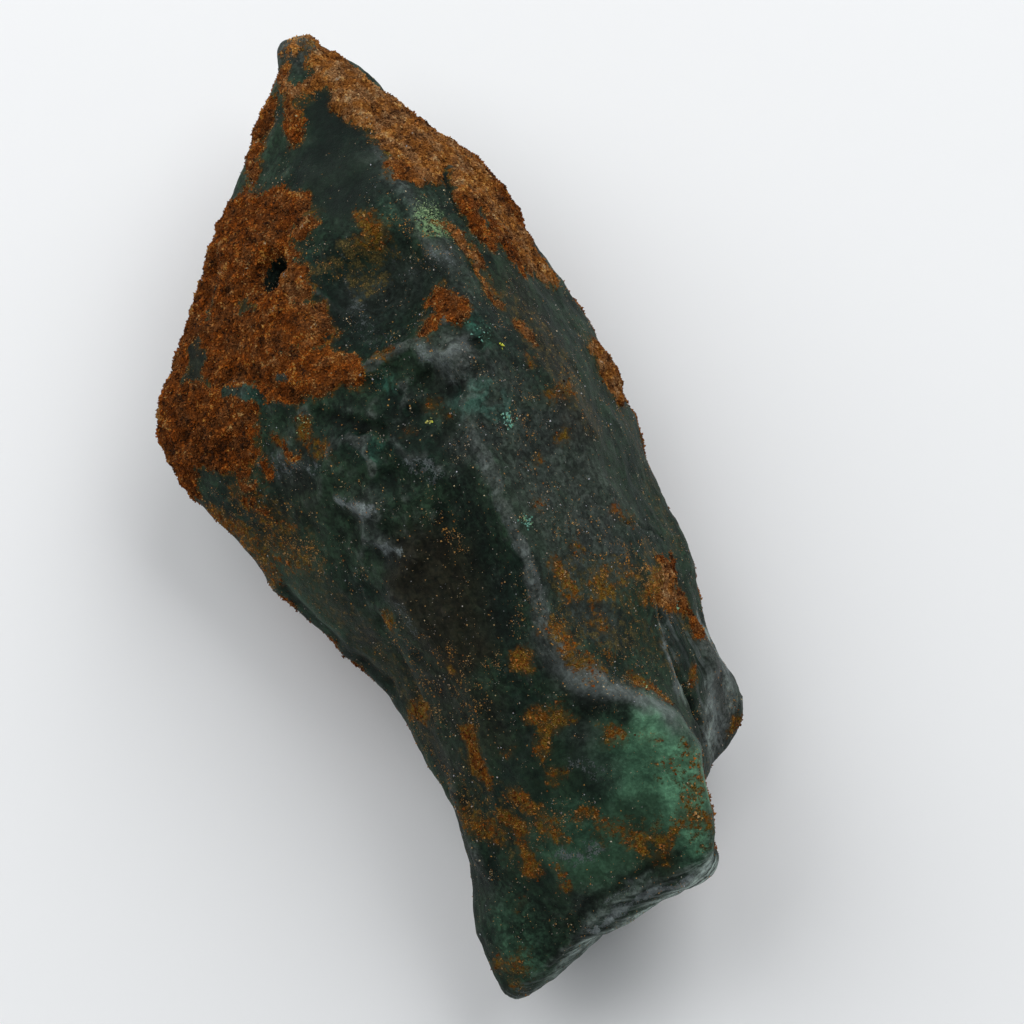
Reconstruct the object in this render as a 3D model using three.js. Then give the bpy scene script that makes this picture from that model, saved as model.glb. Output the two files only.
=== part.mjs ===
// A raw emerald the length of a palm, as it comes out of the ground: a pointed tip, wide shoulders,
// a waist, and a slab-like lower body that ends in a broken face, with a fracture spur on its right.
//
// Millimetres. +Z is up and the stone rests on the flat facet of its belly, at z = 0. +Y runs along
// the stone to its pointed tip, and +X is to the right as seen from above with the tip away from you.
// The origin is under the middle of the box that the stone fits in.
//
// The body is stretched over ARRISES, the edge lines that run from the tip to the broken end. Each
// ring of the skin joins the same share of every arris, so the facets between two arrises stay flat.
// The arrises are then rounded, the hollows are pressed in, and the belly is ground flat.

import * as THREE from "three";
import { mergeVertices } from "three/addons/utils/BufferGeometryUtils.js";
import { SimplexNoise } from "three/addons/math/SimplexNoise.js";

// ---- Driving dimensions -------------------------------------------------------------------------

const RINGS = 50; // rings of the skin between the tip and the broken end
const FACET_STEPS = 6; // strips of the skin across each facet
const END_RINGS = 4; // rings that close the broken end

const ROUNDING_PASSES = 3; // more passes, softer arrises
const ROUNDING_PULL = 0.55; // share of the way to its neighbours' middle that a point moves
const ROUNDING_PUSH = -0.4; // and back again, so that the stone keeps its size

const SWELL_SIZE = 13; // slow unevenness of the whole skin
const SWELL_HEIGHT = 0.55;
const RIPPLE_SIZE = 4.5; // finer unevenness
const RIPPLE_HEIGHT = 0.16;
const UNEVENNESS_SEED = 27;
const LONG_AXIS = [[2, 40, 15], [3, -38, 12]]; // the line that the skin swells away from

const GRIND_DEPTH = 1; // how far the belly lines lie below the facet that is ground flat

const EMERALD = { name: "raw emerald", color: 0x27402f, roughness: 0.45, metalness: 0 };

// ---- The edge lines, from the tip to the broken end ---------------------------------------------

// In the order that they are met going round the stone from its crest down its right side.
const ARRISES = [
  // crest: the highest line, which turns to the right along the top of the lower body
  [
    [2.8, 47.2, 17.8],
    [4, 43.6, 19],
    [5.4, 38.9, 21],
    [5.8, 31.8, 25],
    [6.4, 25.4, 28],
    [8, 18.8, 30],
    [8.6, 13.8, 31],
    [6.4, 4.3, 32],
    [5.2, -1, 32],
    [5.2, -6, 32],
    [5.8, -11.6, 31.5],
    [5.6, -17, 30.5],
    [7, -21.9, 29.5],
    [10.2, -25.6, 28.5],
    [13.4, -28.6, 27],
    [14.1, -33, 24.5],
    [14, -37, 22.5],
    [13.2, -40.6, 20],
  ],
  // right bench: where the right face bends half way down
  [
    [3.6, 47.1, 16.4],
    [7.6, 39.4, 18.5],
    [11.8, 31, 20.5],
    [12.4, 22, 24],
    [13.2, 13, 25.5],
    [14.6, 3, 25.5],
    [15, -5, 24.5],
    [16.2, -13.5, 22],
    [17.6, -18.5, 19.5],
    [18.4, -24, 17],
    [17.4, -29.4, 16],
    [14.7, -34, 17],
    [13.5, -40.9, 17],
  ],
  // right rim: the widest line on the right, out to the spur and back in to the notch under it
  [
    [3.5, 47.5, 14.6],
    [7.3, 43, 15],
    [11, 35.9, 15.5],
    [15.1, 30.2, 14],
    [17, 26.6, 12.5],
    [19.5, 16.6, 13],
    [21.2, 8, 10.5],
    [21.7, -1.5, 9.5],
    [21.3, -14.2, 12],
    [21.1, -20, 11],
    [21.6, -24, 10],
    [22.4, -27.2, 9.5],
    [20, -29.6, 9.5],
    [15.2, -32.2, 12],
    [13, -35.8, 13.5],
    [13.4, -40.8, 13],
  ],
  // right belly: the bend under the right rim, where the stone turns in towards what it rests on
  [
    [3.3, 47, 13],
    [7.6, 40, 10.5],
    [12, 31, 7.5],
    [16.2, 22, 5.5],
    [19, 10, 4.5],
    [20, -1, 3.5],
    [18.6, -10, 5],
    [18.4, -18, 6],
    [19.6, -26, 5],
    [14.6, -31.6, 5.5],
    [12.6, -40, 8],
  ],
  // right keel: the right edge of the belly that the stone rests on
  [
    [3.1, 46.6, 12],
    [5, 39, 8],
    [7, 30, 3.5],
    [9, 22, 0.2],
    [12.6, 13, -GRIND_DEPTH],
    [13.4, 2, -GRIND_DEPTH],
    [11, -9, -GRIND_DEPTH],
    [12.4, -20, -GRIND_DEPTH],
    [10, -28, -GRIND_DEPTH],
    [9, -34, 1],
    [9.6, -39.6, 5],
  ],
  // left keel: the left edge of the belly that the stone rests on
  [
    [2.5, 46.6, 12],
    [0, 39, 8],
    [-3, 30, 3.5],
    [-6, 22, 0.2],
    [-9.6, 13, -GRIND_DEPTH],
    [-9.4, 3, -GRIND_DEPTH],
    [-5, -7, -GRIND_DEPTH],
    [-4.4, -16, -GRIND_DEPTH],
    [-1.6, -26, -GRIND_DEPTH],
    [-2.2, -34, 1],
    [-3.8, -43, 5],
  ],
  // left belly: the bend under the left rim
  [
    [2, 47, 13],
    [-1.8, 39.6, 10.5],
    [-8, 30.6, 7],
    [-14.4, 22, 5],
    [-18.6, 13, 6],
    [-16, 4, 5],
    [-12, -5, 4.5],
    [-8.4, -14, 5],
    [-6, -24, 4],
    [-6.4, -34, 5],
    [-7.2, -45, 7],
  ],
  // left rim: the widest line on the left, out to the shoulder and back in to the waist
  [
    [1.5, 48.2, 14.6],
    [0, 45, 15],
    [-3.5, 40, 15.5],
    [-8, 35, 15],
    [-12.2, 30.4, 14],
    [-18, 22.6, 13.5],
    [-22.6, 15.8, 13.5],
    [-22, 12, 13.5],
    [-17.6, 0.6, 12.5],
    [-14.4, -7.2, 12],
    [-12, -12.4, 12],
    [-9.2, -17.8, 12],
    [-7.8, -26.4, 10.5],
    [-8.8, -35, 10],
    [-9.1, -41.4, 9],
    [-8.9, -46.4, 9],
  ],
  // left flank: half way up the slope above the left rim
  [
    [1.8, 47.6, 16.2],
    [-2, 39.6, 17],
    [-7.4, 32.8, 18],
    [-11.2, 26, 18.5],
    [-14.6, 20, 18.5],
    [-18, 13.6, 18.5],
    [-15.6, 6, 19],
    [-13, -2, 19],
    [-10, -9, 18.5],
    [-7, -15.6, 18.5],
    [-6, -23, 17.5],
    [-6.6, -31, 15.5],
    [-7, -40, 13],
    [-5.6, -44.8, 12],
  ],
  // left brow: the top of that slope, where the upper face begins
  [
    [2.2, 47.3, 17.4],
    [0, 39, 19.5],
    [-2.8, 31.6, 22.5],
    [-6, 24, 24],
    [-8, 15, 25.5],
    [-6.6, 7, 27.5],
    [-5.6, -2, 28],
    [-4.6, -10, 27],
    [-3, -17, 25.5],
    [-1.6, -25, 24],
    [-1.2, -33, 21.5],
    [0, -38.6, 19],
    [2, -42.6, 17],
  ],
];

// ---- The hollows: middle, reach along x, y and z, depth (below 0 for a swelling), and the way in --

const HOLLOWS = [
  // the dark scoop under the crest, with a sill of raised stone along its lower edge
  { at: [1.5, 18.5, 28], reach: [6.5, 6, 10], depth: 3.4, into: [0.2, 0.1, -1] },
  { at: [-1, 11.5, 29], reach: [6, 4, 8], depth: -0.8, into: [0, 0, -1] },
  // the dish of the glassy face under the tip
  { at: [0.5, 34, 22], reach: [6, 8, 10], depth: 0.7, into: [0.4, 0, -1] },
  // the curved fracture that left the spur
  { at: [19, -28.5, 19], reach: [7, 9, 12], depth: 2.2, into: [-0.5, 0.2, -0.8] },
  // the long shallow trough to the left of the crest's middle
  { at: [-0.5, -9, 30], reach: [5, 12, 10], depth: 1.5, into: [0.1, 0, -1] },
  // the bite above the waist
  { at: [-13, -13, 12], reach: [9, 12, 14], depth: 1, into: [1, 0.2, 0] },
  // old chips round the underside: two on the right, three on the left, and one in the broken end
  { at: [20, 7, 6], reach: [7, 8, 6], depth: 1.8, into: [-1, 0.2, 0.3] },
  { at: [13, 32, 9], reach: [8, 8, 6], depth: 1.4, into: [-0.7, -0.2, 0.6] },
  { at: [-19, 15, 7], reach: [7, 8, 6], depth: 1.8, into: [1, -0.2, 0.3] },
  { at: [-5, 31, 6], reach: [7, 9, 6], depth: 1.4, into: [0.6, 0, 0.8] },
  { at: [-7, -27, 6], reach: [6, 9, 6], depth: 1.3, into: [1, 0, 0.3] },
  { at: [5, -42, 9], reach: [6, 6, 6], depth: 1.3, into: [0.1, 1, 0] },
];

// ---- The skin -----------------------------------------------------------------------------------

function arrisCurve(points) {
  const corners = points.map(([x, y, z]) => new THREE.Vector3(x, y, z));
  return new THREE.CatmullRomCurve3(corners, false, "centripetal");
}

/** The points of one ring: one corner on each arris, and even steps across the facets between. */
function ringPoints(curves, share) {
  const corners = curves.map((curve) => curve.getPointAt(share));
  return corners.flatMap((corner, i) => {
    const next = corners[(i + 1) % corners.length];
    const steps = Array.from({ length: FACET_STEPS }, (_, step) => step / FACET_STEPS);
    return steps.map((step) => corner.clone().lerp(next, step));
  });
}

function middleOf(points) {
  const sum = points.reduce((total, point) => total.add(point), new THREE.Vector3());
  return sum.divideScalar(points.length);
}

/** The closed skin: rings from the tip to the broken end, and a pole at each end. */
function stretchSkin() {
  const curves = ARRISES.map(arrisCurve);
  const rings = Array.from({ length: RINGS + 1 }, (_, i) => ringPoints(curves, i / RINGS));
  const endRim = rings[RINGS];
  const endMiddle = middleOf(endRim);
  for (let i = 1; i < END_RINGS; i++) {
    rings.push(endRim.map((point) => point.clone().lerp(endMiddle, i / END_RINGS)));
  }
  const points = [...rings.flat(), middleOf(rings[0]), endMiddle];
  const tipPole = points.length - 2;
  const endPole = points.length - 1;
  const around = ARRISES.length * FACET_STEPS;
  const at = (ring, i) => ring * around + (i % around);
  const faces = [];
  for (let i = 0; i < around; i++) {
    faces.push([tipPole, at(0, i), at(0, i + 1)]);
    for (let ring = 0; ring < rings.length - 1; ring++) {
      faces.push([at(ring, i), at(ring + 1, i + 1), at(ring, i + 1)]);
      faces.push([at(ring, i), at(ring + 1, i), at(ring + 1, i + 1)]);
    }
    faces.push([endPole, at(rings.length - 1, i + 1), at(rings.length - 1, i)]);
  }
  return { points, faces };
}

function neighboursOf({ points, faces }) {
  const neighbours = points.map(() => new Set());
  for (const [a, b, c] of faces) {
    neighbours[a].add(b).add(c);
    neighbours[b].add(a).add(c);
    neighbours[c].add(a).add(b);
  }
  return neighbours.map((set) => [...set]);
}

/** Rounds the arrises: every point moves a share of the way to the middle of its neighbours. */
function roundArrises(skin) {
  const neighbours = neighboursOf(skin);
  for (let pass = 0; pass < ROUNDING_PASSES; pass++) {
    for (const share of [ROUNDING_PULL, ROUNDING_PUSH]) {
      const middles = neighbours.map((list) => middleOf(list.map((i) => skin.points[i])));
      skin.points.forEach((point, i) => point.lerp(middles[i], share));
    }
  }
}

/** Presses one hollow in, deepest at its middle and fading to nothing at its reach. */
function pressHollow(points, { at, reach, depth, into }) {
  const middle = new THREE.Vector3(...at);
  const extent = new THREE.Vector3(...reach);
  const press = new THREE.Vector3(...into).normalize().multiplyScalar(depth);
  for (const point of points) {
    const away = point.clone().sub(middle).divide(extent).lengthSq();
    if (away < 1) point.addScaledVector(press, (1 - away) ** 2);
  }
}

/** A small repeatable source of numbers between 0 and 1, for the noise's own shuffle. */
function seededSource(seed) {
  const multiplier = 16807; // of the Park-Miller generator
  const modulus = 2 ** 31 - 1;
  let state = seed;
  return {
    random() {
      state = (state * multiplier) % modulus;
      return state / modulus;
    },
  };
}

/** Makes the skin uneven: each point moves in or out along the line from the stone's long axis. */
function roughen(points) {
  const noise = new SimplexNoise(seededSource(UNEVENNESS_SEED));
  const sample = ({ x, y, z }, size) => noise.noise3d(x / size, y / size, z / size);
  const axis = new THREE.Line3(...LONG_AXIS.map((end) => new THREE.Vector3(...end)));
  for (const point of points) {
    const outward = point.clone().sub(axis.closestPointToPoint(point, true, new THREE.Vector3()));
    const height = SWELL_HEIGHT * sample(point, SWELL_SIZE) + RIPPLE_HEIGHT * sample(point, RIPPLE_SIZE);
    point.addScaledVector(outward.normalize(), height);
  }
}

/** Grinds the belly: whatever hangs below the resting plane is brought up to it. */
function grindBelly(points) {
  for (const point of points) point.z = Math.max(point.z, 0);
}

function emeraldGeometry() {
  const skin = stretchSkin();
  roundArrises(skin);
  for (const hollow of HOLLOWS) pressHollow(skin.points, hollow);
  roughen(skin.points);
  grindBelly(skin.points);
  const geometry = new THREE.BufferGeometry().setFromPoints(skin.points);
  geometry.setIndex(skin.faces.flat());
  geometry.computeBoundingBox();
  const middle = geometry.boundingBox.getCenter(new THREE.Vector3());
  geometry.translate(-middle.x, -middle.y, 0);
  const merged = mergeVertices(geometry);
  merged.computeVertexNormals();
  return merged;
}

// ---- The part -----------------------------------------------------------------------------------

const stone = new THREE.Mesh(emeraldGeometry(), new THREE.MeshStandardMaterial(EMERALD));
stone.name = "raw_emerald";

const rawEmerald = new THREE.Group();
rawEmerald.name = "raw_emerald_part";
rawEmerald.add(stone);

export default rawEmerald;
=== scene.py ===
import math

import bpy
import numpy as np
from bpy.props import FloatProperty, FloatVectorProperty, IntProperty, PointerProperty
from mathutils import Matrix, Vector, noise
from mathutils.bvhtree import BVHTree


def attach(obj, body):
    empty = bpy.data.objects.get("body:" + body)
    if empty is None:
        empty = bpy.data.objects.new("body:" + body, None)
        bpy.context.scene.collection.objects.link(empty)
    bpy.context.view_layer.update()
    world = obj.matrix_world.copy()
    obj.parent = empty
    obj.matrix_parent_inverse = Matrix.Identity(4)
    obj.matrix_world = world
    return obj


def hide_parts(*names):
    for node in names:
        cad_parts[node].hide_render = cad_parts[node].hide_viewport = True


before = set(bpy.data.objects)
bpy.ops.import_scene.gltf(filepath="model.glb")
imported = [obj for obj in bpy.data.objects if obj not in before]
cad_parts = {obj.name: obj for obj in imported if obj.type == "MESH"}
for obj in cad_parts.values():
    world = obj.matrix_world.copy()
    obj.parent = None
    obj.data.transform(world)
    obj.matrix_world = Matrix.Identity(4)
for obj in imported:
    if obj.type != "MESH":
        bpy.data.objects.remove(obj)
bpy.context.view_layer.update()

bl_info = {
    "name": "Raw emerald",
    "version": (1, 0, 0),
    "blender": (4, 5, 0),
    "location": "3D View > Sidebar > Raw emerald",
    "description": "Carves a rough emerald with a skin of iron earth, and lights it on a pale floor",
    "category": "Add Mesh",
}

# The frame: the plain solid that the stone is carved from, and its box.
BLANK = "raw_emerald"
BODY = "root"
STONE_SLOT = "emerald"
CRUST_SLOT = "earth_crust"
MM = 0.001
SEED = 41

# ---- Where things are on the stone, in millimetres ----------------------------------------------
#
# A stroke is laid on the skin like a stroke of a brush: how strong it is, how wide on each side of
# its line, and the points of the line as seen from above, x to the right and y towards the tip.

# Lines that are used more than once.
CREST = (
    (5.0, 3.8), (4.9, 0.4), (5.3, -2.7), (5.2, -5.4), (5.5, -9.2), (5.6, -12.3), (5.2, -16.0),
    (5.4, -18.2), (5.6, -20.3),
)
BROW = (  # the upper edge of the broken end
    (-3.7, -44.5), (-0.9, -43.4), (0.9, -42.5), (3.4, -41.8), (7.3, -41.3), (9.9, -41.1),
    (13.0, -40.8),
)
GREY_KNOB = ((3.9, 9.2), (6.3, 8.4))
UNDER_KNOB = ((4.7, 7.4), (4.9, 6.3))
TROUGH_LIP = ((7.4, 19.1), (8.1, 17.1))
SPUR_FLANK = ((18.9, -25.8), (18.0, -29.5))
GROOVE_LIP = ((15.5, -21.0), (15.4, -24.7), (14.9, -27.0))

# Thick crust.
CRUST = (
    # tip
    (0.55, 1.1, ((2.6, 45.2), (4.1, 43.0))),
    (1.0, 1.2, ((4.1, 42.6), (4.4, 41.3))),
    (1.0, 1.3, ((4.9, 43.6), (6.3, 41.2), (8.0, 38.2), (9.5, 36.3), (11.7, 32.3), (13.8, 29.4))),
    (1.0, 0.9, ((4.9, 41.5), (5.7, 39.4))),
    (1.0, 0.9, ((0.8, 42.7), (1.7, 40.4), (4.9, 39.9))),
    (0.95, 0.9, ((0.5, 40.0), (-0.5, 36.0))),
    (1.0, 1.0, ((-1.6, 41.3), (-3.0, 38.6), (-5.0, 35.5))),
    (0.9, 0.8, ((-5.0, 35.5), (-6.4, 33.2))),
    # upper right face, from the crest to the rim
    (1.0, 2.8, ((6.8, 37.8), (8.9, 32.9))),
    (1.0, 1.9, ((6.8, 34.5), (8.6, 29.8))),
    (1.0, 1.5, ((7.7, 27.9), (9.8, 27.5))),
    (1.0, 2.4, ((10.5, 30.2), (11.2, 28.9))),
    (1.0, 3.6, ((11.5, 34.0), (14.5, 28.0), (16.5, 22.5))),
    (1.0, 1.1, ((12.6, 26.3), (12.4, 24.7), (12.2, 23.2), (12.3, 21.0), (12.8, 19.3))),
    (1.0, 1.5, ((13.2, 27.0), (13.6, 24.0), (14.2, 21.0), (15.7, 17.5))),
    (1.0, 1.9, ((15.2, 25.0), (15.6, 22.0), (16.2, 18.5))),
    (0.95, 1.1, ((13.9, 22.5), (13.9, 19.0), (14.8, 16.6))),
    (1.0, 2.0, ((16.4, 20.5), (17.4, 17.0))),
    (1.0, 0.5, ((8.6, 21.6), (10.2, 19.9), (11.0, 17.7), (11.1, 14.9), (11.5, 12.9))),
    # left face, from under the tip to the shoulder, and over the left rim
    (1.0, 2.5, ((-7.6, 30.6), (-4.1, 28.2))),
    (1.0, 2.4, ((-9.2, 27.6), (-5.9, 25.1))),
    (1.0, 2.2, ((-11.2, 24.1), (-5.6, 21.2))),
    (1.0, 2.2, ((-13.4, 20.4), (-5.7, 16.3))),
    (1.0, 1.6, ((-14.4, 17.4), (-4.1, 11.7))),
    (1.0, 1.0, ((-11.3, 13.1), (-8.6, 11.1))),
    (1.0, 0.9, ((-10.3, 12.3), (-7.3, 11.0), (-4.5, 10.3))),
    (0.95, 1.1, ((-4.3, 14.0), (-2.8, 10.2))),
    (1.0, 2.6, ((-9.3, 30.5), (-12.5, 27.0), (-15.0, 23.5))),
    (1.0, 1.8, ((-15.4, 23.4), (-17.6, 20.6), (-19.5, 17.5))),
    (1.0, 0.8, ((-3.9, 28.5), (-2.6, 27.1), (-2.6, 25.8))),
    (1.0, 0.9, ((-13.0, 25.3), (-14.8, 22.6), (-16.2, 21.2))),
    (1.0, 2.4, ((-18.3, 15.1), (-14.5, 11.2))),
    (1.0, 2.2, ((-19.8, 12.6), (-14.9, 9.3))),
    (1.0, 2.4, ((-20.0, 17.0), (-21.6, 13.5), (-21.0, 10.0))),
    (0.62, 1.2, ((-15.8, 7.4), (-15.7, 4.6))),
    (0.3, 1.1, ((-16.4, 5.6), (-14.9, 3.6))),
    (0.6, 0.7, ((-13.2, 7.8), (-13.3, 6.0))),
    (0.8, 0.6, ((-11.1, 7.3), (-10.9, 6.2))),
    # beside the scoop
    (1.0, 1.2, ((6.6, 14.1), (7.3, 12.3))),
    (0.8, 0.6, ((5.2, 11.7), (4.4, 10.8))),
    # above the spur
    (0.95, 1.0, ((18.3, -14.2), (18.0, -16.3))),
    (0.9, 0.9, ((16.4, -17.0), (17.7, -17.5), (19.2, -17.0))),
    (0.9, 0.8, ((19.3, -18.2), (18.9, -20.8))),
    (0.9, 0.8, ((19.4, -14.0), (19.6, -16.4))),
    (0.7, 0.6, ((19.6, -13.0), (18.9, -14.7))),
    (1.0, 1.6, ((20.1, 7.7), (20.5, 4.7))),
    (1.0, 0.8, ((12.7, 9.9), (13.3, 9.2))),
)

# Where the crust is missing.
BARE = (
    (0.9, 0.35, ((-16.0, 20.2), (-14.4, 21.4))),
    (0.7, 0.5, ((-12.3, 24.9),)),
    (0.9, 0.8, ((-14.2, 15.0), (-12.0, 12.5))),
    (0.9, 0.9, ((-11.4, 10.7), (-10.1, 8.6))),
    (0.7, 0.6, ((-9.2, 13.1),)),
    (0.8, 0.25, ((11.6, 27.6), (11.2, 25.6), (10.9, 23.4), (11.0, 21.0))),
    (0.9, 0.8, ((12.4, 16.8), (12.9, 14.4))),
    (0.9, 0.7, ((2.2, 42.6), (2.1, 41.2))),
    (1.0, 0.8, ((1.5, 37.4), (0.3, 30.1))),
    (1.0, 1.1, ((21.2, -12.5), (21.7, -15.5), (21.8, -18.5))),
)

# Thin earth that only stains the stone.
STAINS = (
    # above the scoop
    (0.9, 0.8, ((2.9, 24.2), (3.3, 23.1))),
    (0.5, 1.0, ((1.8, 22.4), (3.2, 21.6))),
    # left and middle
    (0.8, 0.5, ((-9.0, 8.2), (-9.0, 6.0), (-7.5, 4.5))),
    (0.8, 0.6, ((-11.7, 8.1),)),
    (0.4, 0.5, ((-0.9, 3.2),)),
    (0.5, 0.6, ((2.4, 4.7), (3.2, 3.7))),
    (0.8, 0.6, ((0.0, 10.9),)),
    (0.7, 0.8, ((-7.2, -10.9),)),
    (0.6, 1.3, ((-19.0, 5.5), (-17.4, 3.0))),
    (0.4, 1.3, ((-16.3, 5.6), (-15.0, 3.0), (-14.2, 1.2))),
    (0.38, 1.6, ((-17.0, 1.6), (-16.0, -2.2))),
    (0.3, 1.9, ((-16.0, 0.8), (-13.1, -2.2))),
    (0.25, 1.4, ((-15.0, 3.9), (-13.4, 1.0))),
    # right face
    (0.5, 0.5, ((12.2, 6.2),)),
    (0.7, 0.5, ((13.0, 2.9),)),
    (0.7, 0.6, ((14.1, 2.9), (15.2, 3.1))),
    (0.7, 0.6, ((12.7, -1.1), (13.5, -0.8))),
    (0.6, 0.4, ((10.2, -2.5),)),
    (0.6, 0.5, ((8.3, -7.1),)),
    (0.7, 0.5, ((10.5, -11.3),)),
    (0.95, 0.7, ((8.5, -13.2), (8.9, -14.7))),
    (0.6, 0.5, ((9.1, -15.4), (8.0, -15.6))),
    (0.8, 0.7, ((11.9, -14.2), (11.2, -15.3), (11.7, -16.1))),
    (0.5, 0.5, ((10.4, -16.6), (12.4, -15.7))),
    (0.5, 0.6, ((13.4, -15.3), (14.8, -14.7))),
    (0.85, 1.5, ((16.6, -15.6), (18.6, -17.3))),
    (0.6, 0.7, ((14.7, -17.2), (15.8, -16.4))),
    (0.35, 0.7, ((15.3, -9.1), (16.9, -9.4))),
    (0.6, 0.7, ((10.0, -18.3),)),
    (0.5, 0.5, ((10.0, -21.5),)),
    # along the crest and over the roll
    (0.7, 0.7, ((6.2, -18.1), (6.2, -20.2))),
    (0.8, 0.7, ((6.9, -21.1), (8.1, -22.4))),
    (0.8, 0.7, ((11.7, -24.1), (12.5, -25.1))),
    (0.8, 0.6, ((13.0, -25.4), (13.7, -26.8))),
    (0.9, 0.6, ((17.4, -24.2), (16.8, -25.5))),
    (0.9, 0.6, ((21.0, -28.5), (19.8, -29.0))),
    # lower body
    (0.95, 0.9, ((2.3, -19.3), (2.3, -20.4))),
    (0.6, 0.6, ((-3.4, -17.8),)),
    (0.8, 0.9, ((-7.7, -18.2), (-6.8, -19.3))),
    (0.8, 0.8, ((2.0, -24.5), (4.4, -25.3))),
    (0.75, 0.7, ((2.5, -25.2), (1.5, -27.6))),
    (0.7, 0.6, ((7.3, -28.4), (8.5, -28.4))),
    (1.0, 0.8, ((-4.0, -23.0), (-3.9, -25.0), (-3.7, -27.2))),
    (0.3, 0.8, ((-1.2, -26.0),)),
    (0.8, 0.7, ((2.3, -29.9),)),
    (0.5, 1.3, ((-6.2, -29.6), (-4.6, -31.8))),
    (0.95, 0.8, ((-1.8, -29.9), (-1.0, -31.4))),
    (1.0, 0.8, ((-3.2, -31.8), (-2.0, -33.3))),
    (0.6, 0.8, ((0.0, -32.4), (0.1, -34.2))),
    (0.7, 0.6, ((2.3, -34.0), (4.3, -34.4))),
    (0.9, 0.8, ((-2.9, -34.7), (-2.8, -36.6))),
    (0.4, 0.9, ((-0.2, -37.4), (-0.2, -39.0))),
    (0.5, 0.7, ((5.4, -35.5), (6.5, -36.5))),
    (0.95, 0.7, ((6.6, -37.5), (7.1, -38.4))),
    (0.6, 0.7, ((7.7, -37.7), (9.3, -38.0))),
    (0.7, 0.5, ((9.7, -38.1), (8.8, -39.6))),
    (1.0, 0.5, ((10.8, -37.7),)),
    (0.55, 0.9, ((12.4, -36.9), (13.3, -38.1))),
    (0.5, 0.5, ((13.8, -31.2), (13.7, -33.6), (13.3, -36.0))),
    (0.7, 0.6, ((-8.6, -42.7), (-7.8, -43.1))),
    (0.7, 0.5, ((-7.0, -43.5),)),
    (0.7, 0.6, ((-7.4, -45.4),)),
    (0.3, 0.5, ((-0.9, -43.9),)),
    (0.5, 0.4, ((7.8, -39.8),)),
    (0.25, 0.7, ((-4.4, -39.1),)),
    (0.25, 0.9, ((11.0, -29.7),)),
    (0.3, 0.5, ((11.1, -32.2), (12.6, -33.0))),
)

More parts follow.
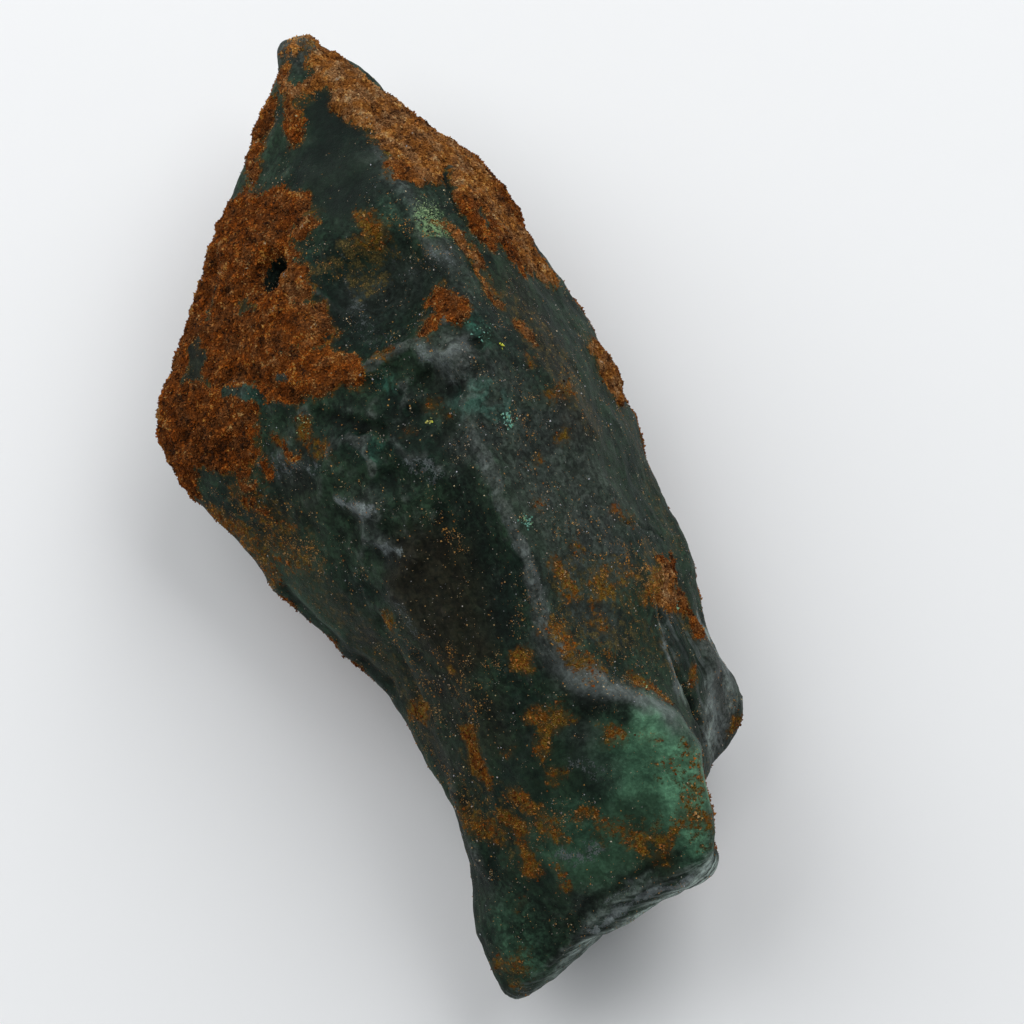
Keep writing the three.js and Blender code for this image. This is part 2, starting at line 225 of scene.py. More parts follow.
# Soft zones of the stone's own colour and finish, and of the light and shade painted on it.
ZONES = {
    "haze_and_reflection": (  # grey, frosted stone, and a painted reflection of the pale floor on the faces
        (0.05, 3.5, ((11.0, 9.1), (13.8, 3.1))),
        (0.5, 3.4, ((12.9, -0.5), (13.3, -7.3), (12.9, -12.5))),
        (0.4, 3.2, ((8.8, 4.0), (8.8, -3.0), (9.2, -11.0), (10.0, -17.0))),
        (0.35, 0.6, ((6.0, 2.0), (6.0, -3.0), (6.4, -11.0), (6.9, -18.0))),
        (0.75, 2.2, ((5.6, 8.2), (5.5, 6.4))),
        (0.9, 2.6, ((19.8, -22.0), (19.9, -26.0), (17.8, -29.6))),
        (0.45, 1.8, ((-6.2, -1.3),)),
        (0.45, 1.5, ((-5.6, -5.3),)),
        (0.4, 1.4, ((-5.9, -11.3),)),
        (0.4, 2.8, ((4.8, 1.2),)),
        (0.4, 2.3, ((-11.1, 5.8),)),
        (0.6, 1.3, ((8.0, 18.4), (8.8, 13.9))),
        (0.7, 1.5, ((4.6, -19.5), (5.9, -21.6), (8.1, -24.6), (12.0, -26.8), (14.1, -29.3))),
        (0.7, 1.5, ((2.0, 46.0), (3.6, 43.6))),
        (0.6, 0.8, ((-9.0, 13.1),)),
        (0.5, 1.3, ((-13.2, 14.1),)),
        (0.15, 0.8, ((0.5, 31.4), (2.2, 30.8))),
        (0.45, 2.6, ((0.5, 17.6), (4.6, 17.2))),
        (0.4, 1.4, ((5.8, 30.6), (6.7, 26.1), (7.1, 22.0))),
        (0.35, 1.5, ((5.6, -27.6), (6.3, -31.0))),
        (0.12, 2.1, ((-7.2, -36.7),)),
        (0.35, 0.8, ((0.5, -40.9), (4.3, -41.0))),
    ),
    "glow": (  # clearer green, brightened by a painted glow as if light shone through the stone
        (0.95, 2.9, ((12.2, -35.3),)),
        (1.0, 2.0, ((11.4, -28.4), (12.2, -30.3), (12.6, -32.8))),
        (0.9, 1.5, ((12.2, -39.2),)),
        (0.52, 4.5, ((9.8, -31.2),)),
        (0.22, 4.7, ((3.1, -36.1),)),
        (0.22, 2.6, ((-5.4, -40.5), (-5.4, -43.0))),
        (0.15, 3.4, ((-13.7, -3.7), (-12.2, -7.6))),
        (0.3, 1.4, ((5.4, 23.6),)),
    ),
    "teal": (
        (0.7, 1.3, ((8.8, 9.7),)),
        (0.7, 1.9, ((5.9, 4.2), (8.2, 2.6))),
        (0.6, 1.1, ((-0.7, 7.9),)),
        (0.5, 1.1, ((-3.5, 2.7),)),
        (0.5, 1.5, ((-13.5, 14.8), (-12.2, 12.6))),
        (0.15, 1.2, ((-3.5, 24.0), (-4.4, 21.8))),
    ),
    "mint": ((1.0, 1.0, ((8.3, 22.7), (8.4, 20.7))),),
    "dark": (  # green so deep that it is nearly black, and painted shade in the scoop, the hollows, the groove and under the brow
        (0.9, 2.2, ((2.6, 37.0), (4.9, 35.1), (5.1, 32.6))),
        (0.75, 3.2, ((0.8, 31.5), (1.2, 27.8), (3.5, 25.6), (4.8, 23.2))),
        (0.5, 2.2, ((-1.7, 24.5), (0.1, 22.6))),
        (0.75, 3.0, ((-2.5, 15.0), (3.2, 16.0), (6.6, 15.8))),
        (1.0, 0.6, ((8.3, 16.1), (8.1, 13.9))),
        (0.9, 1.6, ((3.0, -2.9), (2.4, -10.1), (2.2, -15.7))),
        (0.8, 1.1, ((-4.9, 7.9), (-6.9, 6.3))),
        (0.8, 1.1, ((0.1, 6.2), (3.4, 5.2))),
        (0.7, 1.1, ((-1.7, 3.0), (1.1, 2.8))),
        (0.6, 1.6, ((-12.9, -9.2), (-8.6, -16.9))),
        (0.4, 3.4, ((-14.0, -4.4), (-10.6, -8.9))),
        (0.8, 2.0, ((-4.6, -25.3), (-5.5, -30.5))),
        (0.7, 2.1, ((-4.0, -40.0), (-3.7, -43.3))),
        (0.8, 1.3, ((6.8, -25.5), (9.2, -26.9))),
        (0.4, 0.7, ((2.2, -41.6), (8.6, -40.4))),
        (0.6, 1.7, ((4.5, -32.1), (7.0, -30.3))),
        (1.0, 0.9, ((-16.5, 20.0), (-14.2, 21.6))),
        (0.8, 0.6, ((-15.0, 21.0), (-16.8, 19.0))),
        (1.0, 0.8, ((17.2, -22.2), (16.7, -26.6), (15.8, -30.1))),
        (0.9, 0.4, ((20.1, -24.8), (19.6, -26.0))),
        (1.0, 0.4, ((17.2, -18.5), (18.1, -18.8))),
    ),
    "soot_and_shade": (  # brown-black dust and shadowed stone
        (0.85, 4.3, ((-2.6, -8.9), (-2.9, -15.3))),
        (0.5, 3.7, ((-5.1, -18.5), (-2.7, -22.6))),
        (0.35, 0.9, ((6.9, -39.0), (9.3, -39.8))),
        (0.3, 2.8, ((-11.4, 2.2),)),
        (0.5, 3.4, ((13.5, 13.0), (15.0, 7.0), (15.5, 1.0))),
        (0.6, 2.0, ((-18.6, 13.0), (-16.8, 9.8))),
        (0.9, 0.7, ((-15.6, 20.6), (-16.4, 17.9))),
        (0.45, 2.2, ((-13.1, -2.2), (-11.2, -7.8), (-8.3, -13.5), (-6.7, -20.1), (-6.6, -27.0))),
    ),
    "gloss": (  # smooth, waxy stone
        (1.0, 3.7, ((2.0, 35.9), (1.9, 27.9))),
        (0.8, 7.5, ((1.1, -33.5), (8.7, -33.6))),
        (0.7, 3.7, ((-12.9, -4.2), (-10.6, -8.9))),
        (0.8, 2.1, ((18.9, -25.8),)),
        (0.4, 3.6, ((-1.1, 17.8), (6.0, 17.0))),
        (0.7, 1.6, ((5.6, -20.8), (8.1, -24.6), (11.2, -26.4), (13.3, -28.1))),
    ),
    "lumpy": (  # knobbly stone
        (1.0, 5.2, ((3.3, 7.8), (-5.0, 0.5), (-6.1, -6.4))),
        (0.7, 3.3, ((-9.7, 6.9), (-10.6, 1.8))),
        (0.5, 3.3, ((-8.5, -9.5), (-6.5, -15.0))),
        (0.4, 3.0, ((-1.1, 15.8), (5.6, 16.0))),
    ),
    "streak": (  # the long ribs of the fracture that left the spur
        (1.0, 2.1, ((17.0, -18.5), (18.0, -24.8), (17.3, -30.4))),
        (1.0, 1.5, ((20.8, -23.6), (20.9, -27.4))),
    ),
    "tan": (  # where the crust is paler and yellower
        (1.0, 4.5, ((4.5, 41.0), (8.5, 33.0), (11.0, 28.0))),
        (1.0, 4.0, ((12.5, 31.0), (14.5, 24.0), (17.0, 17.5))),
        (1.0, 2.0, ((19.0, 8.5), (20.3, 4.5))),
        (1.0, 1.4, ((8.8, 20.9), (11.1, 16.0), (13.3, 9.2))),
        (1.0, 2.5, ((2.4, 45.0), (5.0, 42.5), (9.5, 36.5))),
        (0.8, 3.0, ((1.0, -33.5), (6.0, -37.0), (13.5, -37.0))),
        (0.9, 3.0, ((8.5, -13.8), (12.0, -15.5), (17.5, -17.0))),
        (0.6, 3.0, ((2.5, -19.5), (3.0, -26.0))),
        (0.4, 1.0, ((-5.8, 23.0), (-5.0, 19.2), (-4.4, 16.3), (-3.1, 13.0))),
        (0.6, 2.0, ((-16.5, 2.0), (-14.5, 0.5))),
    ),
    "olive": (  # a thin earthy film
        (0.9, 0.9, ((2.7, 24.1), (3.3, 22.9))),
        (0.75, 1.5, ((0.6, 21.9), (2.9, 20.8))),
        (0.9, 0.6, ((-3.0, 21.1), (-1.4, 21.4))),
        (0.6, 1.3, ((0.1, 19.6), (2.0, 18.8))),
        (0.7, 0.7, ((0.3, 17.4),)),
        (0.3, 3.0, ((-15.8, 5.0), (-12.5, -1.5))),
        (0.4, 1.3, ((9.2, -37.0), (4.4, -36.0))),
        (0.45, 2.0, ((17.6, -13.0), (18.4, -19.0))),
        (0.35, 1.7, ((12.0, -33.5),)),
        (0.42, 3.0, ((13.5, 11.0), (16.0, 1.5))),
        (0.42, 2.0, ((8.4, -14.1), (11.8, -14.4), (15.3, -15.4))),
        (0.45, 1.6, ((8.0, -17.9), (11.5, -20.2), (15.0, -21.2))),
        (0.3, 3.0, ((-13.5, -3.0), (-11.0, -8.5), (-8.6, -14.5), (-7.4, -20.0))),
        (0.6, 1.2, ((-7.6, -43.2), (-7.1, -44.7), (-6.2, -43.2))),
        (0.3, 1.6, ((19.2, 9.0), (20.2, 1.3), (20.6, -3.8), (20.3, -11.3))),
        (0.4, 1.6, ((8.4, -14.9), (7.4, -19.3))),
        (0.4, 1.6, ((12.5, -15.4), (13.5, -20.0), (15.6, -22.9))),
        (0.35, 2.6, ((-4.6, -27.0), (-3.0, -34.0))),
        (0.55, 0.9, ((13.5, -33.6), (13.1, -36.8), (12.9, -39.6))),
        (0.6, 0.8, ((6.0, -36.4), (8.2, -37.9), (11.1, -37.7))),
        (0.35, 1.2, ((13.6, -31.5), (13.2, -34.5))),
    ),
    "sheen": (  # a painted highlight along the arrises
        (0.2, 0.3, ((4.8, 3.6), (4.9, 0.4), (5.1, -1.3))),
        (0.6, 0.1, ((5.1, -1.3), (5.0, -4.7), (5.2, -7.6))),
        (1.0, 0.1, ((5.2, -7.6), (5.4, -10.3), (5.6, -13.7))),
        (0.6, 0.3, ((5.7, -15.3), (5.6, -17.7), (5.4, -20.4))),
        (0.75, 0.8, ((5.7, -21.8), (8.1, -24.4), (11.2, -26.6), (13.5, -28.6))),
        (0.3, 0.9, GREY_KNOB),
        (0.3, 0.6, UNDER_KNOB),
        (0.12, 0.6, TROUGH_LIP),
        (0.15, 0.8, ((6.3, 27.0), (7.3, 23.0))),
        (0.25, 1.1, ((-6.8, -1.3), (-5.6, -5.6))),
        (1.0, 0.7, ((20.1, -19.2), (20.5, -20.8), (20.9, -22.4), (21.1, -23.9))),
        (1.0, 0.9, SPUR_FLANK),
        (0.55, 0.5, GROOVE_LIP),
        (0.5, 0.5, ((21.2, -25.2), (21.0, -27.0))),
    ),
    "chalk": (  # bruised, nearly white edges of the breaks
        (0.35, 0.3, ((6.9, -41.0), (3.6, -41.9), (0.8, -42.6))),
        (0.6, 0.5, ((13.0, -40.9), (11.6, -41.1))),
        (0.75, 0.5, ((20.1, -19.2), (20.5, -20.8), (20.9, -22.4))),
        (0.45, 0.6, ((18.9, -24.9), (17.9, -28.3), (17.2, -31.0))),
        (0.35, 0.4, ((16.0, -20.1), (15.8, -22.9), (15.4, -26.6))),
        (0.5, 0.4, ((20.9, -25.4), (20.5, -27.4))),
    ),
    "frost_and_glints": (  # crisp whitish flakes, and painted glints on the lumps, the knob and the crest
        (0.6, 0.8, ((-7.5, -0.4), (-6.0, -2.2))),
        (0.6, 0.7, ((-6.3, -4.8), (-5.0, -6.4))),
        (0.3, 0.9, ((-5.9, -10.6), (-5.5, -13.3))),
        (0.35, 1.1, ((-13.5, 6.9), (-9.4, 4.3))),
        (0.45, 1.0, ((-0.8, 0.3), (0.9, -1.3))),
        (0.35, 0.9, GREY_KNOB),
        (0.3, 0.7, UNDER_KNOB),
        (0.3, 0.7, TROUGH_LIP),
        (0.45, 0.25, ((4.7, -4.7), (4.8, -7.6), (5.1, -10.3), (5.5, -13.7))),
        (0.7, 0.5, ((20.4, -20.5), (20.8, -21.7), (21.2, -23.9))),
        (0.7, 0.6, SPUR_FLANK),
        (0.6, 0.5, GROOVE_LIP),
        (0.4, 0.4, ((-1.0, 21.5), (-1.1, 18.9), (-0.5, 16.6))),
        (1.0, 0.4, ((12.4, -41.4), (10.0, -41.7), (7.3, -42.0), (3.4, -42.5), (0.9, -43.2),
                    (-0.9, -44.2))),
        (0.4, 0.3, ((6.9, -40.7), (3.6, -41.4), (0.7, -42.0))),
        (0.25, 0.9, ((3.6, -29.1), (5.8, -31.2))),
        (0.3, 0.8, ((0.3, -35.9), (3.7, -37.2))),
        (0.2, 1.2, ((-0.8, 15.7), (-0.1, 13.2), (1.2, 11.3))),
        (0.15, 1.4, ((4.4, 19.0), (7.0, 17.3))),
    ),
    "speckle": (  # where fine golden dust gathers
        (0.6, 1.9, ((-18.2, 5.0), (-15.6, 2.1))),
        (0.9, 1.5, ((-17.4, 1.8), (-16.5, -2.0))),
        (0.6, 1.7, ((-13.6, -0.6), (-12.1, -2.7))),
        (0.7, 1.3, ((0.4, -5.9), (0.2, -8.0))),
        (0.4, 1.1, ((3.2, -15.5), (4.7, -16.2))),
        (0.4, 1.5, ((10.7, 2.7), (9.7, -2.3))),
        (0.45, 2.1, ((-3.5, -17.3), (-2.9, -20.7))),
        (0.6, 0.9, ((0.4, -18.1), (0.0, -19.5))),
        (0.35, 2.1, ((-8.1, -21.0), (-7.0, -26.4))),
        (0.8, 1.5, ((15.0, -13.5), (16.4, -18.5))),
        (0.2, 2.8, ((9.9, -8.8), (12.9, -11.2))),
        (0.7, 0.9, ((-4.2, 23.0), (-1.9, 21.0))),
        (0.5, 1.1, ((5.3, 23.3), (7.0, 19.9))),
        (0.4, 2.3, ((-7.0, -12.9), (-6.2, -18.7))),
        (0.3, 2.3, ((-6.0, -29.0), (2.0, -34.0))),
        (0.3, 2.0, ((8.0, -22.0), (13.0, -25.0))),
    ),
}

# What is carved into the skin before it is roughened: how far it stands out (or is cut in, where
# that is negative), how far it reaches on each side of its line, its profile and its line.
MARKS = (
    # the crest down the middle, and the pale ridge that it grows out of
    (0.5, 2.0, "round", CREST),
    (0.4, 0.9, "sharp", CREST),
    (0.4, 1.3, "sharp", ((5.8, 30.6), (6.4, 28.7), (6.7, 26.1), (7.1, 23.4), (7.0, 20.1), (7.6, 17.3),
                         (8.4, 15.0))),
    # the scoop: its lips and its deepest part
    (0.4, 0.9, "sharp", ((-4.7, 20.7), (-3.5, 18.8), (-2.1, 16.5))),
    (0.6, 1.3, "sharp", ((-2.8, 9.7), (-0.6, 10.3), (1.4, 10.5), (3.0, 10.5), (4.9, 10.7),
                         (6.4, 11.2))),
    (-0.4, 2.2, "round", ((6.9, 13.6), (7.9, 14.8))),
    # knobs and hollows below the scoop
    (0.8, 2.4, "round", ((5.5, 8.1), (5.9, 7.6))),
    (-0.35, 1.3, "round", ((7.8, 8.5), (7.3, 6.5), (6.5, 4.9))),
    (-0.7, 1.9, "round", ((3.1, 7.1), (4.9, 5.5))),
    (-0.6, 1.3, "round", ((-7.4, 8.3), (-5.5, 6.2), (-2.7, 4.4))),
    (0.6, 1.3, "sharp", ((-7.9, 0.3), (-6.6, -1.1), (-5.2, -2.9))),
    (0.5, 1.3, "sharp", ((-6.9, -3.5), (-5.6, -5.1), (-4.7, -6.4))),
    (0.4, 1.3, "sharp", ((-11.9, 6.7), (-10.4, 5.0), (-9.2, 3.4))),
    (0.5, 1.3, "sharp", ((-4.9, 4.5), (-4.5, 3.1), (-4.6, 1.2))),
    (0.3, 1.5, "sharp", ((-1.8, 2.6), (0.3, 0.7), (2.4, -2.6))),
    # the dished, glassy face under the tip
    (0.25, 2.8, "round", ((0.8, 31.3), (3.0, 31.0))),
    (-0.25, 2.8, "round", ((-0.5, 28.0), (2.3, 27.6))),
    # the gap between the two bands of crust on the upper right face
    (-0.4, 0.9, "round", ((11.2, 28.0), (11.1, 24.8), (11.3, 21.9), (12.2, 19.6))),
    # the green notch in the left crust
    (-0.5, 1.1, "round", ((-14.2, 15.9), (-11.8, 15.2), (-10.2, 12.5), (-8.5, 10.3))),
    # right face: a blunt change of plane, and a crack
    (0.25, 2.3, "sharp", ((13.5, 4.6), (15.7, -0.9), (15.3, -8.4), (16.0, -13.6), (16.3, -18.3))),
    (-0.4, 0.4, "sharp", ((15.4, -9.7), (17.2, -9.9), (18.3, -10.2), (19.2, -11.2))),
    # the roll above the lower body, and the groove where the spur splits from it
    (0.25, 2.2, "round", ((5.6, -20.3), (6.8, -23.2), (8.9, -25.2), (12.2, -26.3), (13.9, -28.5),
                         (14.6, -31.2), (16.0, -32.5))),
    (-0.6, 0.8, "round", ((16.3, -17.0), (16.1, -21.1), (16.0, -24.7), (16.4, -27.9), (16.8, -30.8))),
    (-0.4, 2.8, "round", ((7.5, -26.3), (9.7, -28.0))),
    # waist and lower body
    (-0.3, 1.5, "round", ((-8.1, -10.5), (-7.5, -14.1), (-7.0, -18.0))),
    (0.3, 2.1, "sharp", ((-2.7, -19.9), (-3.0, -26.2), (-4.1, -32.1))),
    (0.3, 1.5, "sharp", ((-2.6, -11.8), (-2.5, -15.5))),
    # the broken end
    (-0.3, 1.0, "round", ((-1.5, -42.3), (2.2, -41.0), (8.1, -40.2), (12.0, -40.0))),
    (0.35, 0.5, "sharp", BROW),
    # the outline: a blunt tip, a fuller spur, and a flatter left rim
    (0.6, 2.6, "round", ((1.8, 45.6), (3.2, 45.3))),
    (-0.4, 1.8, "round", ((6.3, 42.0), (8.6, 38.6), (12.2, 33.0), (14.0, 30.5))),
    (0.8, 2.4, "round", ((21.0, -18.0), (21.2, -20.5), (21.4, -24.0))),
    (0.6, 2.6, "round", ((12.8, -41.6), (10.6, -42.0))),
    (0.6, 2.6, "round", ((4.0, -43.6), (1.4, -43.9))),
    (0.4, 2.0, "round", ((21.2, -9.5), (21.2, -13.5))),
    (-0.7, 2.6, "round", ((-11.5, 27.6), (-13.6, 24.8))),
    (-0.5, 2.2, "round", ((-15.6, 23.0), (-17.2, 21.0), (-18.6, 19.0))),
    (-0.6, 2.0, "round", ((-2.6, 38.8), (-4.0, 37.2))),
    (-0.5, 2.2, "round", ((14.5, 27.0), (17.5, 21.5), (18.5, 19.0))),
    (-0.6, 2.4, "round", ((-20.4, 16.5), (-21.4, 14.0), (-21.4, 11.5))),
    (-0.7, 2.2, "round", ((-15.4, -4.2), (-12.6, -9.6))),
    (-0.8, 2.4, "round", ((-10.8, -12.6), (-9.4, -15.0))),
    (0.8, 2.0, "round", ((-7.8, -33.6), (-7.6, -30.2), (-7.6, -27.3))),
    # the one deep pit, in the left crust
    (-3.0, 2.6, "round", ((-6.8, 23.8), (-7.5, 23.1))),
)

# Mineral flecks: the place of a cluster, its spread, how many flecks, their radius and their colour.
FLECKS = (
    (10.2, 8.1, 0.1, 8, 0.15, "yellow"),
    (1.7, 3.4, 0.16, 8, 0.15, "dull yellow"),
    (8.5, 1.3, 0.35, 40, 0.14, "sea green"),
    (6.9, -8.6, 0.35, 34, 0.13, "sea green"),
    (8.9, 9.7, 0.8, 30, 0.08, "sea green"),
    (8.3, 22.7, 0.8, 300, 0.055, "mint"),
    (8.5, 21.0, 0.6, 160, 0.055, "mint"),
    (18.2, -18.0, 0.25, 8, 0.12, "sea green"),
    (-8.8, 8.0, 0.5, 14, 0.1, "mint"),
    (12.2, -25.0, 0.2, 5, 0.13, "mint"),
)
FLECK_TONES = {"yellow": 0.1, "dull yellow": 0.3, "sea green": 0.5, "mint": 0.9}

RIM_HEIGHT = 16  # about where the stone is widest
BROW_HEIGHT = 18
BROW_CORNER = (-6.0, -45.2)  # where the brow ends at the lower left


# ---- What a user would change -------------------------------------------------------------------


class StoneSettings(bpy.types.PropertyGroup):
    skin_step: FloatProperty(
        name="Skin step",
        description="Distance between the points of the carved skin",
        default=0.36 * MM, min=0.2 * MM, max=2 * MM, unit="LENGTH", precision=5,
    )
    crust_thickness: FloatProperty(
        name="Crust thickness",
        description="How far the earthy crust stands proud of the stone",
        default=0.3 * MM, min=0.0, max=2 * MM, unit="LENGTH", precision=5,
    )
    deep_colour: FloatVectorProperty(
        name="Deep green", description="The stone where it is darkest",
        default=(0.004, 0.011, 0.007), size=3, subtype="COLOR", min=0, max=1,
    )
    body_colour: FloatVectorProperty(
        name="Body green", description="The stone's ordinary green",
        default=(0.0115, 0.0245, 0.0135), size=3, subtype="COLOR", min=0, max=1,
    )
    # the clear green, brightened as a painted glow of light through the stone
    clear_glow_colour: FloatVectorProperty(
        name="Clear green", description="The brightest, clearest green",
        default=(0.105, 0.262, 0.152), size=3, subtype="COLOR", min=0, max=1,
    )
    # the frosted grey, which is also the colour of the painted reflections and highlights
    haze_and_reflection_colour: FloatVectorProperty(
        name="Frosted grey", description="The frosted skin of worn faces and arrises",
        default=(0.044, 0.048, 0.0455), size=3, subtype="COLOR", min=0, max=1,
    )


class CrustSettings(bpy.types.PropertyGroup):
    grain_radius: FloatProperty(
        name="Grain radius", description="Radius of an ordinary grain of the crust",
        default=0.105 * MM, min=0.03 * MM, max=1 * MM, unit="LENGTH", precision=5,
    )
    grains_per_piece: IntProperty(
        name="Grains in each piece",
        description="Grains in each of the pieces that the crust is made of",
        default=45000, min=100, max=49000,
    )
    dust_radius: FloatProperty(
        name="Dust radius", description="Radius of a speck of dust",
        default=0.038 * MM, min=0.01 * MM, max=0.5 * MM, unit="LENGTH", precision=5,
    )
    dust_grains: IntProperty(
        name="Dust grains", description="Specks of dust on the whole stone",
        default=42000, min=0, max=49000,
    )
    # the darkest earth; in the crust's hollows it is painted shade
    dark_colour: FloatVectorProperty(
        name="Dark earth", description="The hollows of the crust",
        default=(0.026, 0.010, 0.003), size=3, subtype="COLOR", min=0, max=1,
    )
    earth_colour: FloatVectorProperty(
        name="Earth", description="The crust's ordinary colour",
        default=(0.118, 0.036, 0.0062), size=3, subtype="COLOR", min=0, max=1,
    )
    rust_colour: FloatVectorProperty(
        name="Rust", description="The bright orange grains",
        default=(0.28, 0.08, 0.010), size=3, subtype="COLOR", min=0, max=1,
    )
    gold_colour: FloatVectorProperty(
        name="Gold", description="The few yellowish grains",
        default=(0.34, 0.195, 0.052), size=3, subtype="COLOR", min=0, max=1,
    )


class StageSettings(bpy.types.PropertyGroup):
    camera_distance: FloatProperty(
        name="Camera distance", description="From the camera to the middle of the stone",
        default=0.42, min=0.1, max=3, unit="LENGTH",
    )
    camera_azimuth: FloatProperty(
        name="Camera azimuth", description="Round the stone, from looking along +Y",
        default=math.radians(-19.5), subtype="ANGLE",
    )
    camera_elevation: FloatProperty(
        name="Camera elevation", description="Above the horizon",
        default=math.radians(78), subtype="ANGLE",
    )
    key_power: FloatProperty(
        name="Key light power", description="The large soft light on the right of the tip",
        default=6.0, min=0, unit="POWER",
    )
    fill_power: FloatProperty(
        name="Fill light power", description="The large soft light on the left of the tip",
        default=5.2, min=0, unit="POWER",
    )
    floor_colour: FloatVectorProperty(
        name="Floor", description="The pale floor",
        default=(0.87, 0.88, 0.89), size=3, subtype="COLOR", min=0, max=1,
    )


# ---- Reading and evening out a mesh -------------------------------------------------------------

RELIEF_ROUNDS = 8  # how far around a point its height is compared, in steps from point to point
SOFTENING_ROUNDS = 2


def read_vectors(items, name):
    values = np.empty(len(items) * 3)
    items.foreach_get(name, values)
    return values.reshape(-1, 3)


def read_edges(mesh):
    edges = np.empty(len(mesh.edges) * 2, np.int32)
    mesh.edges.foreach_get("vertices", edges)
    return edges.reshape(-1, 2)


def triangle_corners(mesh):
    mesh.calc_loop_triangles()
    corners = np.empty(len(mesh.loop_triangles) * 3, np.int32)
    mesh.loop_triangles.foreach_get("vertices", corners)
    return corners.reshape(-1, 3)


def spread(values, edges, rounds):
    """Values of a mesh's points, each evened out with its neighbours' as many times as asked."""
    values = values.astype(float)
    share = np.bincount(edges.ravel(), minlength=len(values)).reshape(-1, *[1] * (values.ndim - 1))
    for _ in range(rounds):
        total = np.zeros_like(values)
        np.add.at(total, edges[:, 0], values[edges[:, 1]])
        np.add.at(total, edges[:, 1], values[edges[:, 0]])
        values = 0.5 * values + 0.5 * total / share
    return values


def standing_out(mesh, rounds):
    """How far each point stands out of the skin around it, in millimetres; negative in a hollow."""
    places = read_vectors(mesh.vertices, "co") / MM
    normals = read_vectors(mesh.vertices, "normal")
    edges = read_edges(mesh)
    heights = ((places - spread(places, edges, rounds)) * normals).sum(axis=1)
    return spread(heights, edges, SOFTENING_ROUNDS)


# ---- Laying strokes on the skin -----------------------------------------------------------------

SMOOTHNESS, GAP = 0.9, 2.0  # how fast the octaves of a noise grow weaker, and finer


def smooth_step(low, high, values):
    share = np.clip((values - low) / (high - low), 0.0, 1.0)
    return share * share * (3.0 - 2.0 * share)


def noise_field(points, size, octaves=3, shift=0.0):
    """Noise between about -1 and 1 at each point, with features of the given size in millimetres."""
    places = points / size + shift
    return np.array([noise.fractal(Vector(p), SMOOTHNESS, GAP, octaves) for p in places])


def noise_shift(points, size, octaves=2):
    """A shift of about -1 to 1 in each direction at each point."""
    return np.stack([noise_field(points, size, octaves, shift) for shift in (0.0, 11.0, 23.0)], 1)


def scallops(points, size):
    """Shallow dishes that meet in sharp ridges: 0 in the middle of a dish, about 1 on the ridges."""
    places = points / size + 0.5 * noise_shift(points, 2.5 * size)
    metric = "DISTANCE_SQUARED"
    return np.array([noise.voronoi(Vector(p), distance_metric=metric)[0][0] for p in places])


def distance_to_line(points, line):
    """Distance from each point to a line of straight stretches, or to the one point of it."""
    nearest = np.full(len(points), np.inf)
    for start, end in zip(line, line[1:] or line):
        along = end - start
        share = np.clip((points - start) @ along / max(along @ along, 1e-9), 0.0, 1.0)
        away = points - start - share[:, None] * along
        nearest = np.minimum(nearest, np.sqrt((away * away).sum(axis=1)))
    return nearest


class Skin:
    """The points and normals of a carved mesh, in millimetres, and what is laid on them."""

    STRAYING = ((0.9, 2.6), (0.35, 0.8))  # how far a stroke's edge wanders, and over what length
    MARK_SHARE = 0.3  # how much of that a carved mark wanders
    SHARPNESS = 1.6
    ABOVE_ALL = 60  # a height above the whole stone

    def __init__(self, stone):
        self.points = read_vectors(stone.data.vertices, "co") / MM
        self.normals = read_vectors(stone.data.vertices, "normal")
        self.tree = BVHTree.FromObject(stone, bpy.context.evaluated_depsgraph_get())
        self.strayed = self.points
        for amount, size in self.STRAYING:
            self.strayed = self.strayed + amount * noise_shift(self.points, size)

    def place(self, x, y):
        """The point of the skin that is seen from above at (x, y), or the nearest one to it."""
        hit = self.tree.ray_cast(Vector((x, y, self.ABOVE_ALL)) * MM, Vector((0, 0, -1)))[0]
        if hit is None:
            hit = self.tree.find_nearest(Vector((x, y, RIM_HEIGHT)) * MM)[0]
        return np.array(hit) / MM

    def carve(self, marks):
        """How far each point moves along its normal to make the marks."""
        wavering = self.points + self.MARK_SHARE * (self.strayed - self.points)
        height = np.zeros(len(self.points))
        for rise, reach, profile, line in marks:
            away = distance_to_line(wavering, [self.place(x, y) for x, y in line]) / reach
            near = np.clip(1.0 - away, 0.0, 1.0)
            rounded = near * near * (3.0 - 2.0 * near)
            height += rise * (near**self.SHARPNESS if profile == "sharp" else rounded)
        return height

    def lay(self, strokes, soft):
        """The strongest stroke at each point of the skin, fading over some millimetres at its rim."""
        strength = np.zeros(len(self.points))
        for amount, width, line in strokes:
            outside = distance_to_line(self.strayed, [self.place(x, y) for x, y in line]) - width
            strength = np.maximum(strength, amount * smooth_step(soft, -soft, outside))
        return strength


# ---- Nodes --------------------------------------------------------------------------------------

PALE_SPECKS = (0.92, (0.30, 0.25, 0.17)), (1.0, (0.5, 0.5, 0.44))  # the end of both kinds of earth
DUSTY_EARTH = (
    (0.10, (0.07, 0.028, 0.008)), (0.32, (0.18, 0.078, 0.023)), (0.55, (0.26, 0.122, 0.036)),
    (0.75, (0.38, 0.2, 0.066)), (0.88, (0.46, 0.3, 0.12)), *PALE_SPECKS,
)
EARTH_DRIFT = 1.6, 3.0, 0.6  # the patches of cool and warm earth: their size, detail and roughness
COOL_TINT, WARM_TINT = (0.96, 1.0, 1.28), (1.15, 0.96, 0.65)


